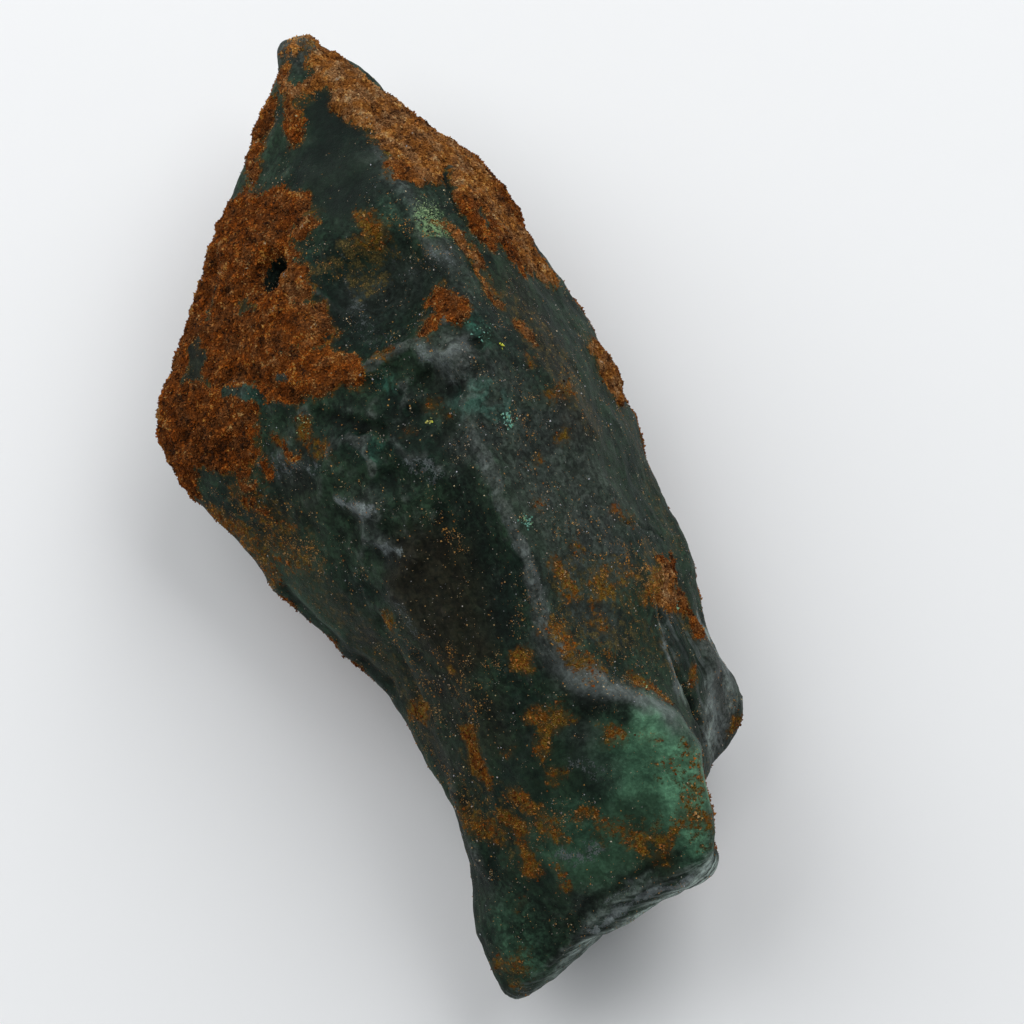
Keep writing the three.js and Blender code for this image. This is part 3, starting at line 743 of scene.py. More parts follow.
class Shader:
    """A material's node tree, with one short call for each kind of node that is used here."""

    SHARE, FIRST, SECOND, RESULT = 0, 6, 7, 2  # the sockets of a Mix node that mixes colours
    OVER_SIEVE = 1.35  # a stroke of strength 1 rises above nearly all of a sieve
    FULLEST = 0.95  # the most that a torn stroke covers
    DUSTIEST = 0.85  # the most that dusty earth replaces rusty earth

    def __init__(self, name):
        self.material = bpy.data.materials.new(name)
        self.material.use_nodes = True
        self.tree = self.material.node_tree
        self.surface = self.tree.nodes["Principled BSDF"]

    def add(self, kind, inputs=(), **settings):
        node = self.tree.nodes.new(kind)
        for name, value in settings.items():
            setattr(node, name, value)
        for name, value in dict(inputs).items():
            self.feed(node.inputs[name], value)
        return node

    def feed(self, socket, value):
        if isinstance(value, bpy.types.NodeSocket):
            self.tree.links.new(value, socket)
        else:
            socket.default_value = value

    def millimetres(self, stretch=(1, 1, 1), turn=(0, 0, 0)):
        """Object coordinates in millimetres, turned and stretched."""
        place = self.add("ShaderNodeTexCoord").outputs["Object"]
        inputs = {"Vector": place, "Rotation": turn, "Scale": [s / MM for s in stretch]}
        return self.add("ShaderNodeMapping", inputs).outputs[0]

    def attribute(self, name):
        return self.add("ShaderNodeAttribute", attribute_name=name).outputs["Fac"]

    def noise(self, place, size, detail=4.0, roughness=0.55, distortion=0.0):
        return self.add(
            "ShaderNodeTexNoise",
            {"Vector": place, "Scale": 1 / size, "Detail": detail, "Roughness": roughness,
             "Distortion": distortion},
        ).outputs["Fac"]

    def cells(self, place, size):
        """Scattered cells: how far each place is from its cell's middle, and three random draws."""
        node = self.add("ShaderNodeTexVoronoi", {"Vector": place, "Scale": 1 / size})
        draws = self.add("ShaderNodeSeparateColor", {"Color": node.outputs["Color"]})
        return node.outputs["Distance"], draws.outputs

    def math(self, operation, a, b=0.0):
        node = self.add("ShaderNodeMath", operation=operation)
        for socket, value in zip(node.inputs, (a, b)):
            self.feed(socket, value)
        return node.outputs[0]

    def times(self, a, b):
        return self.math("MULTIPLY", a, b)

    def blend(self, parts, middle=0.5):
        """A sum of patterns that are 0.5 on average, each with its own weight, around a middle."""
        total = middle - 0.5 * sum(weight for _, weight in parts)
        for pattern, weight in parts:
            total = self.math("ADD", self.times(pattern, weight), total)
        return total

    def above(self, strength, sieve):
        """How far a stroke rises above an uneven sieve: its edge breaks up where they are equal."""
        return self.math("SUBTRACT", self.times(strength, self.OVER_SIEVE), sieve)

    def torn(self, strength, sieve, low, high):
        """A stroke with holes and a torn edge, and nothing outside of it."""
        cover = self.span(self.above(strength, sieve), low, high, 0.0, self.FULLEST)
        return self.times(cover, self.span(strength, 0.02, 0.25))

    def zone(self, name, pattern, *limits):
        """One of the stone's zones, made uneven by a pattern."""
        return self.times(self.attribute(name), self.span(pattern, *limits))

    def layer(self, base, colour, *zone):
        """A colour laid over another one in an uneven zone."""
        return self.mix(self.zone(*zone), base, colour)

    def span(self, value, low, high, to_low=0.0, to_high=1.0):
        """A smooth step from low to high."""
        return self.add(
            "ShaderNodeMapRange",
            {"Value": value, "From Min": low, "From Max": high, "To Min": to_low, "To Max": to_high},
            interpolation_type="SMOOTHSTEP",
        ).outputs[0]

    def mix(self, share, a, b, blend="MIX"):
        node = self.add("ShaderNodeMix", data_type="RGBA", blend_type=blend)
        self.feed(node.inputs[self.SHARE], share)
        for place, value in ((self.FIRST, a), (self.SECOND, b)):
            linked = isinstance(value, bpy.types.NodeSocket)
            self.feed(node.inputs[place], value if linked else (*value, 1.0))
        return node.outputs[self.RESULT]

    def shade(self, colour, amount):
        """A colour made darker or brighter by an amount around 1."""
        return self.mix(1.0, colour, amount, "MULTIPLY")

    def ramp(self, tone, stops):
        node = self.add("ShaderNodeValToRGB", {"Fac": tone})
        elements = node.color_ramp.elements
        while len(elements) < len(stops):
            elements.new(1.0)
        for element, (place, colour) in zip(elements, stops):
            element.position = place
            element.color = (*colour, 1.0)
        return node.outputs[0]

    def earth(self, tone, tan, crust):
        """The earth's colours, from the dark of its hollows, which is partly painted shade, to its gold
        grains; dustier where it is tan.
        """
        rusty = self.ramp(tone, (
            (0.10, crust.dark_colour), (0.28, crust.earth_colour), (0.52, crust.earth_colour),
            (0.72, crust.rust_colour), (0.87, crust.gold_colour), *PALE_SPECKS,
        ))
        dusty = self.ramp(tone, DUSTY_EARTH)
        drift = self.span(self.noise(self.millimetres(), *EARTH_DRIFT), 0.4, 0.6)
        tint = self.mix(drift, COOL_TINT, WARM_TINT)
        return self.shade(self.mix(self.times(tan, self.DUSTIEST), rusty, dusty), tint)

    def bump(self, height, distance, strength=1.0, normal=None):
        inputs = {"Height": height, "Distance": distance, "Strength": strength}
        if normal is not None:
            inputs["Normal"] = normal
        return self.add("ShaderNodeBump", inputs).outputs[0]

    def finish(self, **inputs):
        for name, value in inputs.items():
            self.feed(self.surface.inputs[name.replace("_", " ")], value)
        return self.material


# ---- Materials ----------------------------------------------------------------------------------

# The smaller colours of the stone, some of them for painted light and shade; the main ones are in its
# settings.
PALE_CLOUD = (0.022, 0.034, 0.024)
TEAL = (0.022, 0.085, 0.06)
# the nearly black green, also used as painted shade
BLACK_GREEN_AND_SHADE = (0.004, 0.008, 0.006)
# brown soot, also used as painted shade
BROWN_SOOT_AND_SHADE = (0.011, 0.009, 0.005)
# whitish frost, also used for painted glints
FROST_AND_GLINTS = (0.1, 0.118, 0.118)
# a painted highlight
SHEEN = (0.085, 0.1, 0.096)
MINT = (0.12, 0.2, 0.09)
PALE_RIB = (0.13, 0.155, 0.15)
CHALK = (0.6, 0.74, 0.67)
OLIVE_FILM, GOLDEN_FILM = (0.024, 0.022, 0.009), (0.11, 0.085, 0.026)
THIN_EARTH = (0.06, 0.036, 0.007)
RED_STAIN, BROWN_STAIN, GOLDEN_STAIN = (0.17, 0.052, 0.004), (0.12, 0.07, 0.008), (0.25, 0.165, 0.024)
YELLOW_FLECK = (0.62, 0.66, 0.04)
FLECK_COLOURS = (
    (0.0, YELLOW_FLECK), (0.16, YELLOW_FLECK), (0.3, (0.36, 0.32, 0.06)), (0.45, (0.08, 0.24, 0.17)),
    (0.6, (0.2, 0.42, 0.34)), (0.8, (0.14, 0.24, 0.1)), (1.0, (0.36, 0.46, 0.24)),
)
FLOOR_GRAIN, FLOOR_GRAIN_SIZE = (0.7, 0.7, 0.7), 3.0

# The solid patterns: size in millimetres, detail, roughness and distortion.
CLOUDS = 6.0, 5.0, 0.62, 0.8
WISPS = 1.1, 6.0, 0.7, 0.9
MARBLING = 1.7, 6.0, 0.7, 0.6
SPECKS = 0.42, 5.0, 0.7
GRIT = 0.14, 3.0, 0.6
FIBRES = 0.55, 5.0, 0.7
DRIFT = 1.5, 3.0, 0.6
LUMPS = 0.7, 3.0, 0.6
PITTING = 0.1, 3.0, 0.6
FLAKE_SIZE = 0.45
CRUST_GRAIN = 0.22

WISP_STRETCH, FLAKE_STRETCH, FIBRE_STRETCH = (1.0, 0.4, 0.8), (1.0, 0.6, 1.0), (0.22, 0.22, 1.0)
WISP_TURN = (0, 0, 0.35)  # the wisps and flakes run a little askew
HOLLOW = -0.14  # the relief, in millimetres, at which the painted shade of a hollow is darkest
BERYL_IOR, EARTH_IOR = 1.57, 1.5
EARTH_ROUGHNESS = 0.95
PORE_DEPTH, RIB_DEPTH, PIT_DEPTH = 0.2 * MM, 0.3 * MM, 0.03 * MM  # how deep the bumps look


def green_stone(shader, stone, place, grains):
    """The stone's colour: clouds of green, clear where a painted glow brightens it, frosted grey with
    painted reflections and highlights on faces and arrises, and painted shade in the hollows.
    """
    marbling, specks, grit = grains
    clouds = shader.noise(place, *CLOUDS)
    wisps = shader.noise(shader.millimetres(WISP_STRETCH, WISP_TURN), *WISPS)
    flakes = shader.cells(shader.millimetres(FLAKE_STRETCH, WISP_TURN), FLAKE_SIZE)[1]
    relief = shader.attribute("relief")
    sieve = shader.blend(((marbling, 1.0), (specks, 1.2), (grit, 0.8)))
    base = shader.mix(shader.span(clouds, 0.4, 0.6), stone.deep_colour, stone.body_colour)
    base = shader.mix(shader.span(marbling, 0.5, 0.72, 0.0, 0.6), base, PALE_CLOUD)
    # clearer green, brightened by a painted glow
    base = shader.layer(base, stone.clear_glow_colour, "glow", marbling, 0.3, 0.7, 0.35, 1.0)
    base = shader.layer(base, TEAL, "teal", marbling, 0.42, 0.6)
    # frosted grey and a painted reflection on the hazy faces and on wisps, and a painted highlight on
    # whatever stands out; painted shade keeps it low in the hollows
    wear_and_highlight = shader.span(relief, 0.02, 0.12, 0.0, 0.6)
    wispy = shader.span(wisps, 0.52, 0.72, 0.0, 0.35)
    wispy = shader.times(wispy, shader.span(shader.attribute("gloss"), 0.0, 1.0, 1.0, 0.3))
    haze_and_painted_light = shader.math("MAXIMUM", shader.math("MAXIMUM", shader.attribute("haze_and_reflection"), wear_and_highlight), wispy)
    haze_and_painted_light = shader.times(haze_and_painted_light, shader.span(relief, HOLLOW, 0.0, 0.4, 1.0))
    haze_and_reflection = shader.times(haze_and_painted_light, shader.span(sieve, 0.1, 0.9, 0.5, 1.2))
    base = shader.mix(haze_and_reflection, base, stone.haze_and_reflection_colour)
    # the deep green and painted shade
    base = shader.layer(base, BLACK_GREEN_AND_SHADE, "dark", sieve, 0.9, 0.3, 0.5, 0.95)
    # soot and painted shade
    base = shader.layer(base, BROWN_SOOT_AND_SHADE, "soot_and_shade", specks, 0.25, 0.6, 0.6, 1.0)
    streaky = shader.blend(((wisps, 1.4), (specks, 2.2), (grit, 1.6)))
    # whitish flakes and painted glints
    base = shader.mix(shader.torn(shader.attribute("frost_and_glints"), streaky, -0.15, 0.35), base, FROST_AND_GLINTS)
    # a painted highlight along the arrises
    base = shader.layer(base, SHEEN, "sheen", marbling, 0.3, 0.7, 0.75, 1.1)
    base = shader.layer(base, MINT, "mint", specks, 0.42, 0.58, 0.0, 0.7)
    # small scale: speckled, flaky, and calmer where it is glossy; painted shade in every hollow and a
    # painted highlight on what stands out
    speckled = shader.span(specks, 0.25, 0.75, 0.4, 1.7)
    uneven = shader.times(speckled, shader.span(flakes[0], 0.0, 1.0, 0.7, 1.3))
    calm = shader.times(shader.attribute("gloss"), 0.6)
    shade = shader.math("ADD", shader.times(shader.math("SUBTRACT", 1.0, calm), uneven), calm)
    return shader.shade(base, shader.times(shade, shader.span(relief, HOLLOW, 0.08, 0.5, 1.3)))


def broken_stone(shader, base, marbling, specks):
    """The pale ribs and chalky bruises of the breaks, laid over the stone; and the ribs alone."""
    ribs = shader.add(
        "ShaderNodeTexNoise",
        {"W": shader.attribute("lamina"), "Scale": 0.9, "Detail": 6.0, "Roughness": 0.65},
        noise_dimensions="1D",
    ).outputs["Fac"]
    fibres = shader.noise(shader.millimetres(FIBRE_STRETCH), *FIBRES)
    pale = shader.span(ribs, 0.46, 0.66, 0.0, 0.6)
    pale = shader.times(pale, shader.span(marbling, 0.35, 0.6, 0.2, 1.0))
    shadow = shader.times(shader.attribute("dark"), 0.8)
    pale = shader.times(pale, shader.math("SUBTRACT", shader.attribute("streak"), shadow))
    base = shader.mix(pale, base, PALE_RIB)
    fibrous = shader.blend(((ribs, 0.7), (fibres, 1.3), (specks, 0.8)))
    chalky = shader.zone("chalk", fibrous, 0.25, 0.75, 0.1, 1.0)
    chalky = shader.times(chalky, shader.span(marbling, 0.35, 0.6, 0.25, 1.0))
    return shader.mix(chalky, base, CHALK), ribs


def emerald_material(stone, crust):
    shader = Shader("emerald")
    place = shader.millimetres()
    marbling = shader.noise(place, *MARBLING)
    specks = shader.noise(place, *SPECKS)
    grit = shader.noise(place, *GRIT)
    base = green_stone(shader, stone, place, (marbling, specks, grit))
    base, ribs = broken_stone(shader, base, marbling, specks)
    # olive film, and stains: thin earth that the stone shows through
    tan = shader.attribute("tan")
    drift = shader.noise(place, *DRIFT)
    lumps = shader.noise(place, *LUMPS)
    sieve = shader.blend(((lumps, 1.3), (specks, 1.0), (grit, 0.9)))
    coarse_sieve = shader.blend(((lumps, 3.4), (specks, 2.8), (grit, 1.6)), 0.6)
    film = shader.torn(shader.attribute("olive"), coarse_sieve, -0.25, 0.55)
    oily = shader.mix(shader.span(grit, 0.42, 0.62), OLIVE_FILM, GOLDEN_FILM)
    base = shader.mix(film, base, oily)
    stain = shader.attribute("stain")
    veil = shader.times(shader.span(stain, 0.0, 0.8), shader.span(lumps, 0.3, 0.6, 0.15, 0.85))
    base = shader.mix(veil, base, THIN_EARTH)
    stained = shader.torn(stain, coarse_sieve, -0.35, 0.5)
    rusty = shader.mix(shader.span(drift, 0.35, 0.65), RED_STAIN, BROWN_STAIN)
    yellow = shader.times(shader.span(tan, 0.0, 1.0, 0.45, 1.0), shader.span(specks, 0.45, 0.62))
    golden = shader.mix(yellow, rusty, GOLDEN_STAIN)
    base = shader.mix(stained, base, shader.shade(golden, shader.span(grit, 0.25, 0.75, 0.4, 1.6)))
    # crust: solid where it is strong, broken up at its edges; a painted highlight where it stands out,
    # painted shade in its hollows, and darker in soot and shadowed stone
    crusted = shader.span(shader.above(shader.attribute("crust"), sieve), -0.1, 0.14)
    hollows, draws = shader.cells(place, CRUST_GRAIN)
    tone = shader.blend(((draws[0], 0.4), (drift, 1.0), (lumps, 1.0)), 0.47)
    tone = shader.math("ADD", tone, shader.times(shader.attribute("relief"), 1.2))
    tone = shader.math("SUBTRACT", tone, shader.times(shader.attribute("soot_and_shade"), 0.3))
    earth = shader.shade(shader.earth(tone, tan, crust), shader.span(grit, 0.25, 0.75, 0.5, 1.5))
    colour = shader.mix(crusted, base, earth)
    # finish: waxy where it is glossy, dull elsewhere, and matte where there is earth
    waxy = shader.span(shader.attribute("gloss"), 0.0, 1.0, 0.5, 0.34)
    scuffed = shader.math("ADD", waxy, shader.times(specks, 0.12))
    earthy = shader.math("MAXIMUM", crusted, stained)
    rough = shader.math("MAXIMUM", scuffed, shader.times(earthy, EARTH_ROUGHNESS))
    skin = shader.bump(specks, PORE_DEPTH, 0.8)
    ribbed = shader.bump(shader.times(ribs, shader.attribute("streak")), RIB_DEPTH, 0.6, skin)
    grainy = shader.times(earthy, shader.math("SUBTRACT", grit, hollows))
    normal = shader.bump(grainy, PORE_DEPTH, 1.0, ribbed)
    shader.finish(Base_Color=colour, Roughness=rough, Normal=normal)
    return shader.finish(IOR=BERYL_IOR, Specular_IOR_Level=0.06)


def earth_material(crust):
    shader = Shader("earth_crust")
    fine = shader.noise(shader.millimetres(), *PITTING)
    colour = shader.earth(shader.attribute("tone"), shader.attribute("tan"), crust)
    colour = shader.mix(shader.span(fine, 0.4, 0.75, 0.0, 0.25), colour, crust.dark_colour)
    normal = shader.bump(fine, PIT_DEPTH, 0.5)
    shader.finish(Base_Color=colour, Roughness=EARTH_ROUGHNESS, Normal=normal)
    return shader.finish(IOR=EARTH_IOR, Specular_IOR_Level=0.12)


def fleck_material():
    shader = Shader("mineral_flecks")
    colour = shader.ramp(shader.attribute("tone"), FLECK_COLOURS)
    shader.finish(Base_Color=colour, Roughness=0.6)
    return shader.finish(IOR=EARTH_IOR, Specular_IOR_Level=0.3)


def floor_material(colour):
    shader = Shader("pale_floor")
    grain = shader.noise(shader.millimetres(), FLOOR_GRAIN_SIZE)
    tint = shader.mix(shader.times(grain, 0.04), colour, FLOOR_GRAIN)
    return shader.finish(Base_Color=tint, Roughness=0.8)


# ---- Carving ------------------------------------------------------------------------------------


def pick_only(piece):
    bpy.ops.object.select_all(action="DESELECT")
    piece.select_set(True)
    bpy.context.view_layer.objects.active = piece


def apply_modifier(piece, kind, **settings):
    pick_only(piece)
    bpy.ops.object.modifier_add(type=kind)
    modifier = piece.modifiers[-1]
    for name, value in settings.items():
        setattr(modifier, name, value)
    bpy.ops.object.modifier_apply(modifier=modifier.name)


def displace(piece, group, size, height, detail):
    """Moves the skin in and out by a cloudy pattern of the given feature size and height."""
    texture = bpy.data.textures.new("clouds", "CLOUDS")
    texture.noise_scale = size
    texture.noise_depth = detail
    apply_modifier(piece, "DISPLACE", texture=texture, strength=height, vertex_group=group)


def add_group(piece, name, weights):
    """A vertex group of the points with any weight to speak of."""
    group = piece.vertex_groups.new(name=name)
    for index in np.flatnonzero(weights > 0.01):
        group.add([int(index)], float(weights[index]), "REPLACE")


def add_attribute(piece, name, values):
    layer = piece.data.attributes.new(name, "FLOAT", "POINT")
    layer.data.foreach_set("value", np.asarray(values, np.float32))


def copy_blank(name):
    """A copy of the plain solid with its loose triangles joined."""
    stone = bpy.data.objects.new(name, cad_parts[BLANK].data.copy())
    bpy.context.collection.objects.link(stone)
    stone.data.materials.clear()
    pick_only(stone)
    bpy.ops.object.mode_set(mode="EDIT")
    bpy.ops.mesh.select_all(action="SELECT")
    bpy.ops.mesh.remove_doubles(threshold=0.001 * MM)
    bpy.ops.object.mode_set(mode="OBJECT")
    return stone


def move_points(stone, offsets):
    """Moves each point by its own offset, in millimetres."""
    places = read_vectors(stone.data.vertices, "co") + offsets * MM
    stone.data.vertices.foreach_set("co", places.ravel())
    stone.data.update()


class EMERALD_OT_carve_stone(bpy.types.Operator):
    """Carve the stone's skin out of the plain solid and colour it"""

    bl_idname = "emerald.carve_stone"
    bl_label = "Carve stone"

    # how far a zone takes to fade at its edge, in millimetres
    USUAL_FADING = 0.8
    FADING = {
        "haze_and_reflection": 1.5, "glow": 1.8, "dark": 1.0, "soot_and_shade": 1.8, "gloss": 1.5, "tan": 1.5, "frost_and_glints": 0.4,
        "sheen": 0.45,
    }
    STAIN_FADING = 0.9
    CRUST_FADING = 1.0
    BARE_FADING = 0.35
    FRINGE = 0.42, 1.7  # the strength of the thin earth round the crust, and how far it fades
    PIT = -0.9, -1.3  # how deep the carving is where the earth ends, at the lip of the one deep pit
    # the clouds that roughen the skin: where, their size and height in millimetres, and their detail
    RELIEF = (
        ("", 6, 0.5, 2), ("lumpy", 2.4, 1.0, 2), ("rough", 1.4, 0.25, 3), ("crust", 1.0, 0.9, 2),
    )
    SMALL_DISH, LARGE_DISH = 3.4, 8.0  # millimetres across
    LUMPY_DEPTH, ROUGH_DEPTH, LARGE_DEPTH = 0.7, 0.25, 0.35  # of the dishes, in millimetres
    DISH_MIDDLE = 0.25
    FURROW_DEPTH = 0.4  # between the ribs of the breaks, in millimetres, at most
    LEAST_ROUGH = 0.2  # how much of the roughness is left where the stone is glossy
    END_STARTS = -38.0, -40.0  # how far down the stone, under the brow
    SPUR_RIBS, END_RIBS = 1.5, 2.2  # how close the ribs are
    RIB_SLANT, RIB_WAVER, RIDGE_SIZE = 0.12, 0.5, 0.45
    CRUST_ROUNDS = 30  # how gently the crust rises from the stone, in steps from point to point
    COARSE_TEAR, FINE_TEAR = (0.5, 2.2), (0.4, 0.8)  # how strongly its edge is torn, and over what size
    PATCH_SIZE, PATCH_STRENGTH = 9.0, 0.9  # of the crust on the hidden sides

    def execute(self, context):
        settings = context.scene.emerald_stone
        stone = copy_blank("stone")
        apply_modifier(stone, "SUBSURF", levels=1, render_levels=1)
        apply_modifier(stone, "REMESH", mode="VOXEL", voxel_size=settings.skin_step)
        apply_modifier(stone, "SMOOTH", factor=0.5, iterations=6)
        skin = Skin(stone)
        carved = skin.carve(MARKS)
        move_points(stone, skin.normals * carved[:, None])
        zones = {}
        for name, strokes in ZONES.items():
            zones[name] = skin.lay(strokes, self.FADING.get(name, self.USUAL_FADING))
        zones["stain"] = skin.lay(STAINS, self.STAIN_FADING)
        zones["crust"], fringe = self.crust_cover(skin)
        zones["stain"] = np.maximum(zones["stain"], fringe)
        in_pit = smooth_step(*self.PIT, carved)
        zones["crust"] *= 1.0 - in_pit
        zones["stain"] *= 1.0 - in_pit
        # the one deep pit: bare stone, darkened with painted shade
        zones["dark"] = np.maximum(zones["dark"], in_pit)
        self.add_broken_faces(skin, zones)
        self.add_relief(stone, skin, zones, settings)
        self.rest_flat(stone)
        zones["relief"] = standing_out(stone.data, RELIEF_ROUNDS)
        stone.vertex_groups.clear()
        for name, values in zones.items():
            add_attribute(stone, name, values)
        stone.data.materials.append(emerald_material(settings, context.scene.emerald_crust))
        pick_only(stone)
        bpy.ops.object.shade_smooth()
        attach(stone, BODY)
        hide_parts(BLANK)
        return {"FINISHED"}

    def crust_cover(self, skin):
        """The crust, with more of it on the sides that nobody has rubbed, and thin earth round it."""
        left = 1.0 - skin.lay(BARE, self.BARE_FADING)
        laid = skin.lay(CRUST, self.CRUST_FADING) * left
        (coarse, coarse_size), (fine, fine_size) = self.COARSE_TEAR, self.FINE_TEAR
        rough = coarse * noise_field(skin.points, coarse_size, shift=2.0)
        rough += fine * noise_field(skin.points, fine_size, 2, 6.0)
        crust = smooth_step(0.28, 0.95, 1.25 * laid + rough * smooth_step(0.0, 0.3, laid))
        hidden = smooth_step(0.15, -0.25, skin.normals[:, 2])
        patches = smooth_step(0.0, 0.35, noise_field(skin.points, self.PATCH_SIZE, shift=3.0))
        crust = np.clip(np.maximum(crust, hidden * patches * left * self.PATCH_STRENGTH), 0.0, 1.0)
        strength, fading = self.FRINGE
        fringe = smooth_step(0.08, 0.55, (skin.lay(CRUST, fading) + 0.3 * rough) * left)
        return crust, strength * fringe

    def add_broken_faces(self, skin, zones):
        """The ribs of the two fresh breaks, and the bare stone between them."""
        x, y, z = skin.points.T
        brow = y - np.interp(x, *np.array((BROW_CORNER, *BROW)).T)
        under = smooth_step(-0.5, -0.75, skin.normals[:, 1])
        under *= smooth_step(BROW_HEIGHT, BROW_HEIGHT - 4, z)
        under *= smooth_step(*self.END_STARTS, y)
        end = np.maximum(smooth_step(0.3, -0.3, brow), under)
        waver = self.RIB_WAVER * noise_field(skin.points, 6.0, shift=5.0)
        along_spur = self.SPUR_RIBS * (x + self.RIB_SLANT * y + waver)
        along_end = self.END_RIBS * z + 0.5 * brow + self.RIB_SLANT * x + waver
        zones["lamina"] = np.where(end > zones["streak"], along_end, along_spur)
        ribs = [noise.noise(Vector((place * self.RIDGE_SIZE, 0, 0))) for place in zones["lamina"]]
        zones["ridges"] = np.abs(ribs) * zones["streak"]
        zones["streak"] = np.maximum(zones["streak"], end)
        bruised = 0.35 + 0.5 * smooth_step(BROW_HEIGHT - 8, BROW_HEIGHT - 2, z)
        steep = smooth_step(0.5, 0.25, skin.normals[:, 2])
        zones["chalk"] = np.maximum(zones["chalk"], bruised * end * steep)
        zones["crust"] *= 1.0 - end
        zones["stain"] *= 1.0 - end

    def add_relief(self, stone, skin, zones, settings):
        """Swells, dishes and lumps, the thickness of the crust, and the ribs of the breaks."""
        crust, lumpy = zones["crust"], zones["lumpy"]
        rough = np.clip(1.0 - zones["gloss"], self.LEAST_ROUGH, 1.0)
        for name, weights in (("crust", crust), ("lumpy", lumpy), ("rough", rough)):
            add_group(stone, name, weights)
        for group, size, height, detail in self.RELIEF:
            displace(stone, group, size * MM, height * MM, detail)
        broad = spread(crust, read_edges(stone.data), self.CRUST_ROUNDS)
        lift = smooth_step(0.2, 0.95, broad) * settings.crust_thickness / MM
        lift -= self.FURROW_DEPTH * zones.pop("ridges")
        uneven = self.LUMPY_DEPTH * lumpy + self.ROUGH_DEPTH * rough
        lift += uneven * (scallops(skin.points, self.SMALL_DISH) - self.DISH_MIDDLE)
        lift += self.LARGE_DEPTH * (scallops(skin.points, self.LARGE_DISH) - self.DISH_MIDDLE)
        move_points(stone, skin.normals * lift[:, None])

    @staticmethod
    def rest_flat(stone):
        """Nothing of the stone goes below the surface that it rests on."""
        places = read_vectors(stone.data.vertices, "co")
        places[:, 2] = np.maximum(places[:, 2], 0.0)
        stone.data.vertices.foreach_set("co", places.ravel())
        stone.data.update()


# ---- Grains -------------------------------------------------------------------------------------


def random_turns(rng, count):
    """Matrices that turn each grain its own way."""
    quaternions = rng.normal(size=(count, 4))
    w, x, y, z = (quaternions / np.linalg.norm(quaternions, axis=1)[:, None]).T
    rows = [
        [1 - 2 * (y * y + z * z), 2 * (x * y - z * w), 2 * (x * z + y * w)],
        [2 * (x * y + z * w), 1 - 2 * (x * x + z * z), 2 * (y * z - x * w)],
        [2 * (x * z - y * w), 2 * (y * z + x * w), 1 - 2 * (x * x + y * y)],
    ]
    return np.array(rows).transpose(2, 0, 1)


class Scatter:
    """Throws small grains over a stone and joins them into single meshes."""

    CHIP_HEIGHT = 1.4  # of a chip of radius 1
    SMALLEST = 0.45  # of a grain, as a share of the usual radius
    LARGEST = 5.0  # the same, for each unit of variety
    DEPTH = 0.4  # how far above or below the skin a grain sits, in radii
    STRETCH = 0.6, 1.2
    CLEARANCE = 1.5  # above the floor, in radii

    def __init__(self, stone, seed):
        self.mesh = stone.data
        self.rng = np.random.default_rng(seed)
        self.corners = triangle_corners(self.mesh)
        places = read_vectors(self.mesh.vertices, "co")
        self.start, first, second = (places[self.corners[:, i]] for i in range(3))
        self.sides = first - self.start, second - self.start
        cross = np.cross(*self.sides)
        length = np.linalg.norm(cross, axis=1)
        self.area = length / 2
        self.outward = cross / length[:, None]
        self.middles = (self.start + (self.sides[0] + self.sides[1]) / 3) / MM
        self.grain = self.one_grain()

    @staticmethod
    def one_grain():
        """A chip of radius 1 with four faces."""
        bpy.ops.object.select_all(action="DESELECT")
        bpy.ops.mesh.primitive_cone_add(
            vertices=3, radius1=1.0, radius2=0.0, depth=Scatter.CHIP_HEIGHT, location=(0, 0, 0)
        )
        chip = bpy.context.object
        shape, faces = read_vectors(chip.data.vertices, "co"), triangle_corners(chip.data)
        bpy.data.objects.remove(chip)
        return shape, faces

    def attribute(self, name):
        """An attribute of the stone, at the middle of each of its triangles."""
        values = np.empty(len(self.mesh.vertices), np.float32)
        self.mesh.attributes[name].data.foreach_get("value", values)
        return values[self.corners].mean(axis=1)

    def throw(self, count, weight, radius, variety=0.4):
        """The corners of each grain, most of them where the weight is greatest, and its triangle."""
        rng = self.rng
        weight = weight * self.area
        chosen = rng.choice(len(self.corners), count, p=weight / weight.sum())
        u, v = rng.random((2, count, 1))
        fold = u + v > 1
        u, v = np.where(fold, 1 - u, u), np.where(fold, 1 - v, v)
        middle = self.start[chosen] + u * self.sides[0][chosen] + v * self.sides[1][chosen]
        sizes = rng.lognormal(0.0, variety, (count, 1)).clip(self.SMALLEST, self.LARGEST * variety)
        sizes *= radius
        middle += self.outward[chosen] * sizes * rng.uniform(-self.DEPTH, self.DEPTH, (count, 1))
        middle[:, 2] = np.maximum(middle[:, 2], self.CLEARANCE * sizes[:, 0])
        bodies = self.grain[0][None] * rng.uniform(*self.STRETCH, (count, 1, 3))
        bodies = bodies @ random_turns(rng, count)
        return middle[:, None, :] + bodies * sizes[:, None, :], chosen

    def join(self, name, grains, looks, material, slot):
        """One mesh of all the grains, with attributes that give each grain its look."""
        points, faces = len(self.grain[0]), self.grain[1]
        joined = faces[None] + np.arange(len(grains))[:, None, None] * points
        made = bpy.data.meshes.new(name)
        made.from_pydata(grains.reshape(-1, 3).tolist(), [], joined.reshape(-1, 3).tolist())
        piece = bpy.data.objects.new(name, made)
        bpy.context.collection.objects.link(piece)
        for look, values in looks.items():
            add_attribute(piece, look, np.repeat(values, points))
        made.materials.append(material)
        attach(piece, BODY)


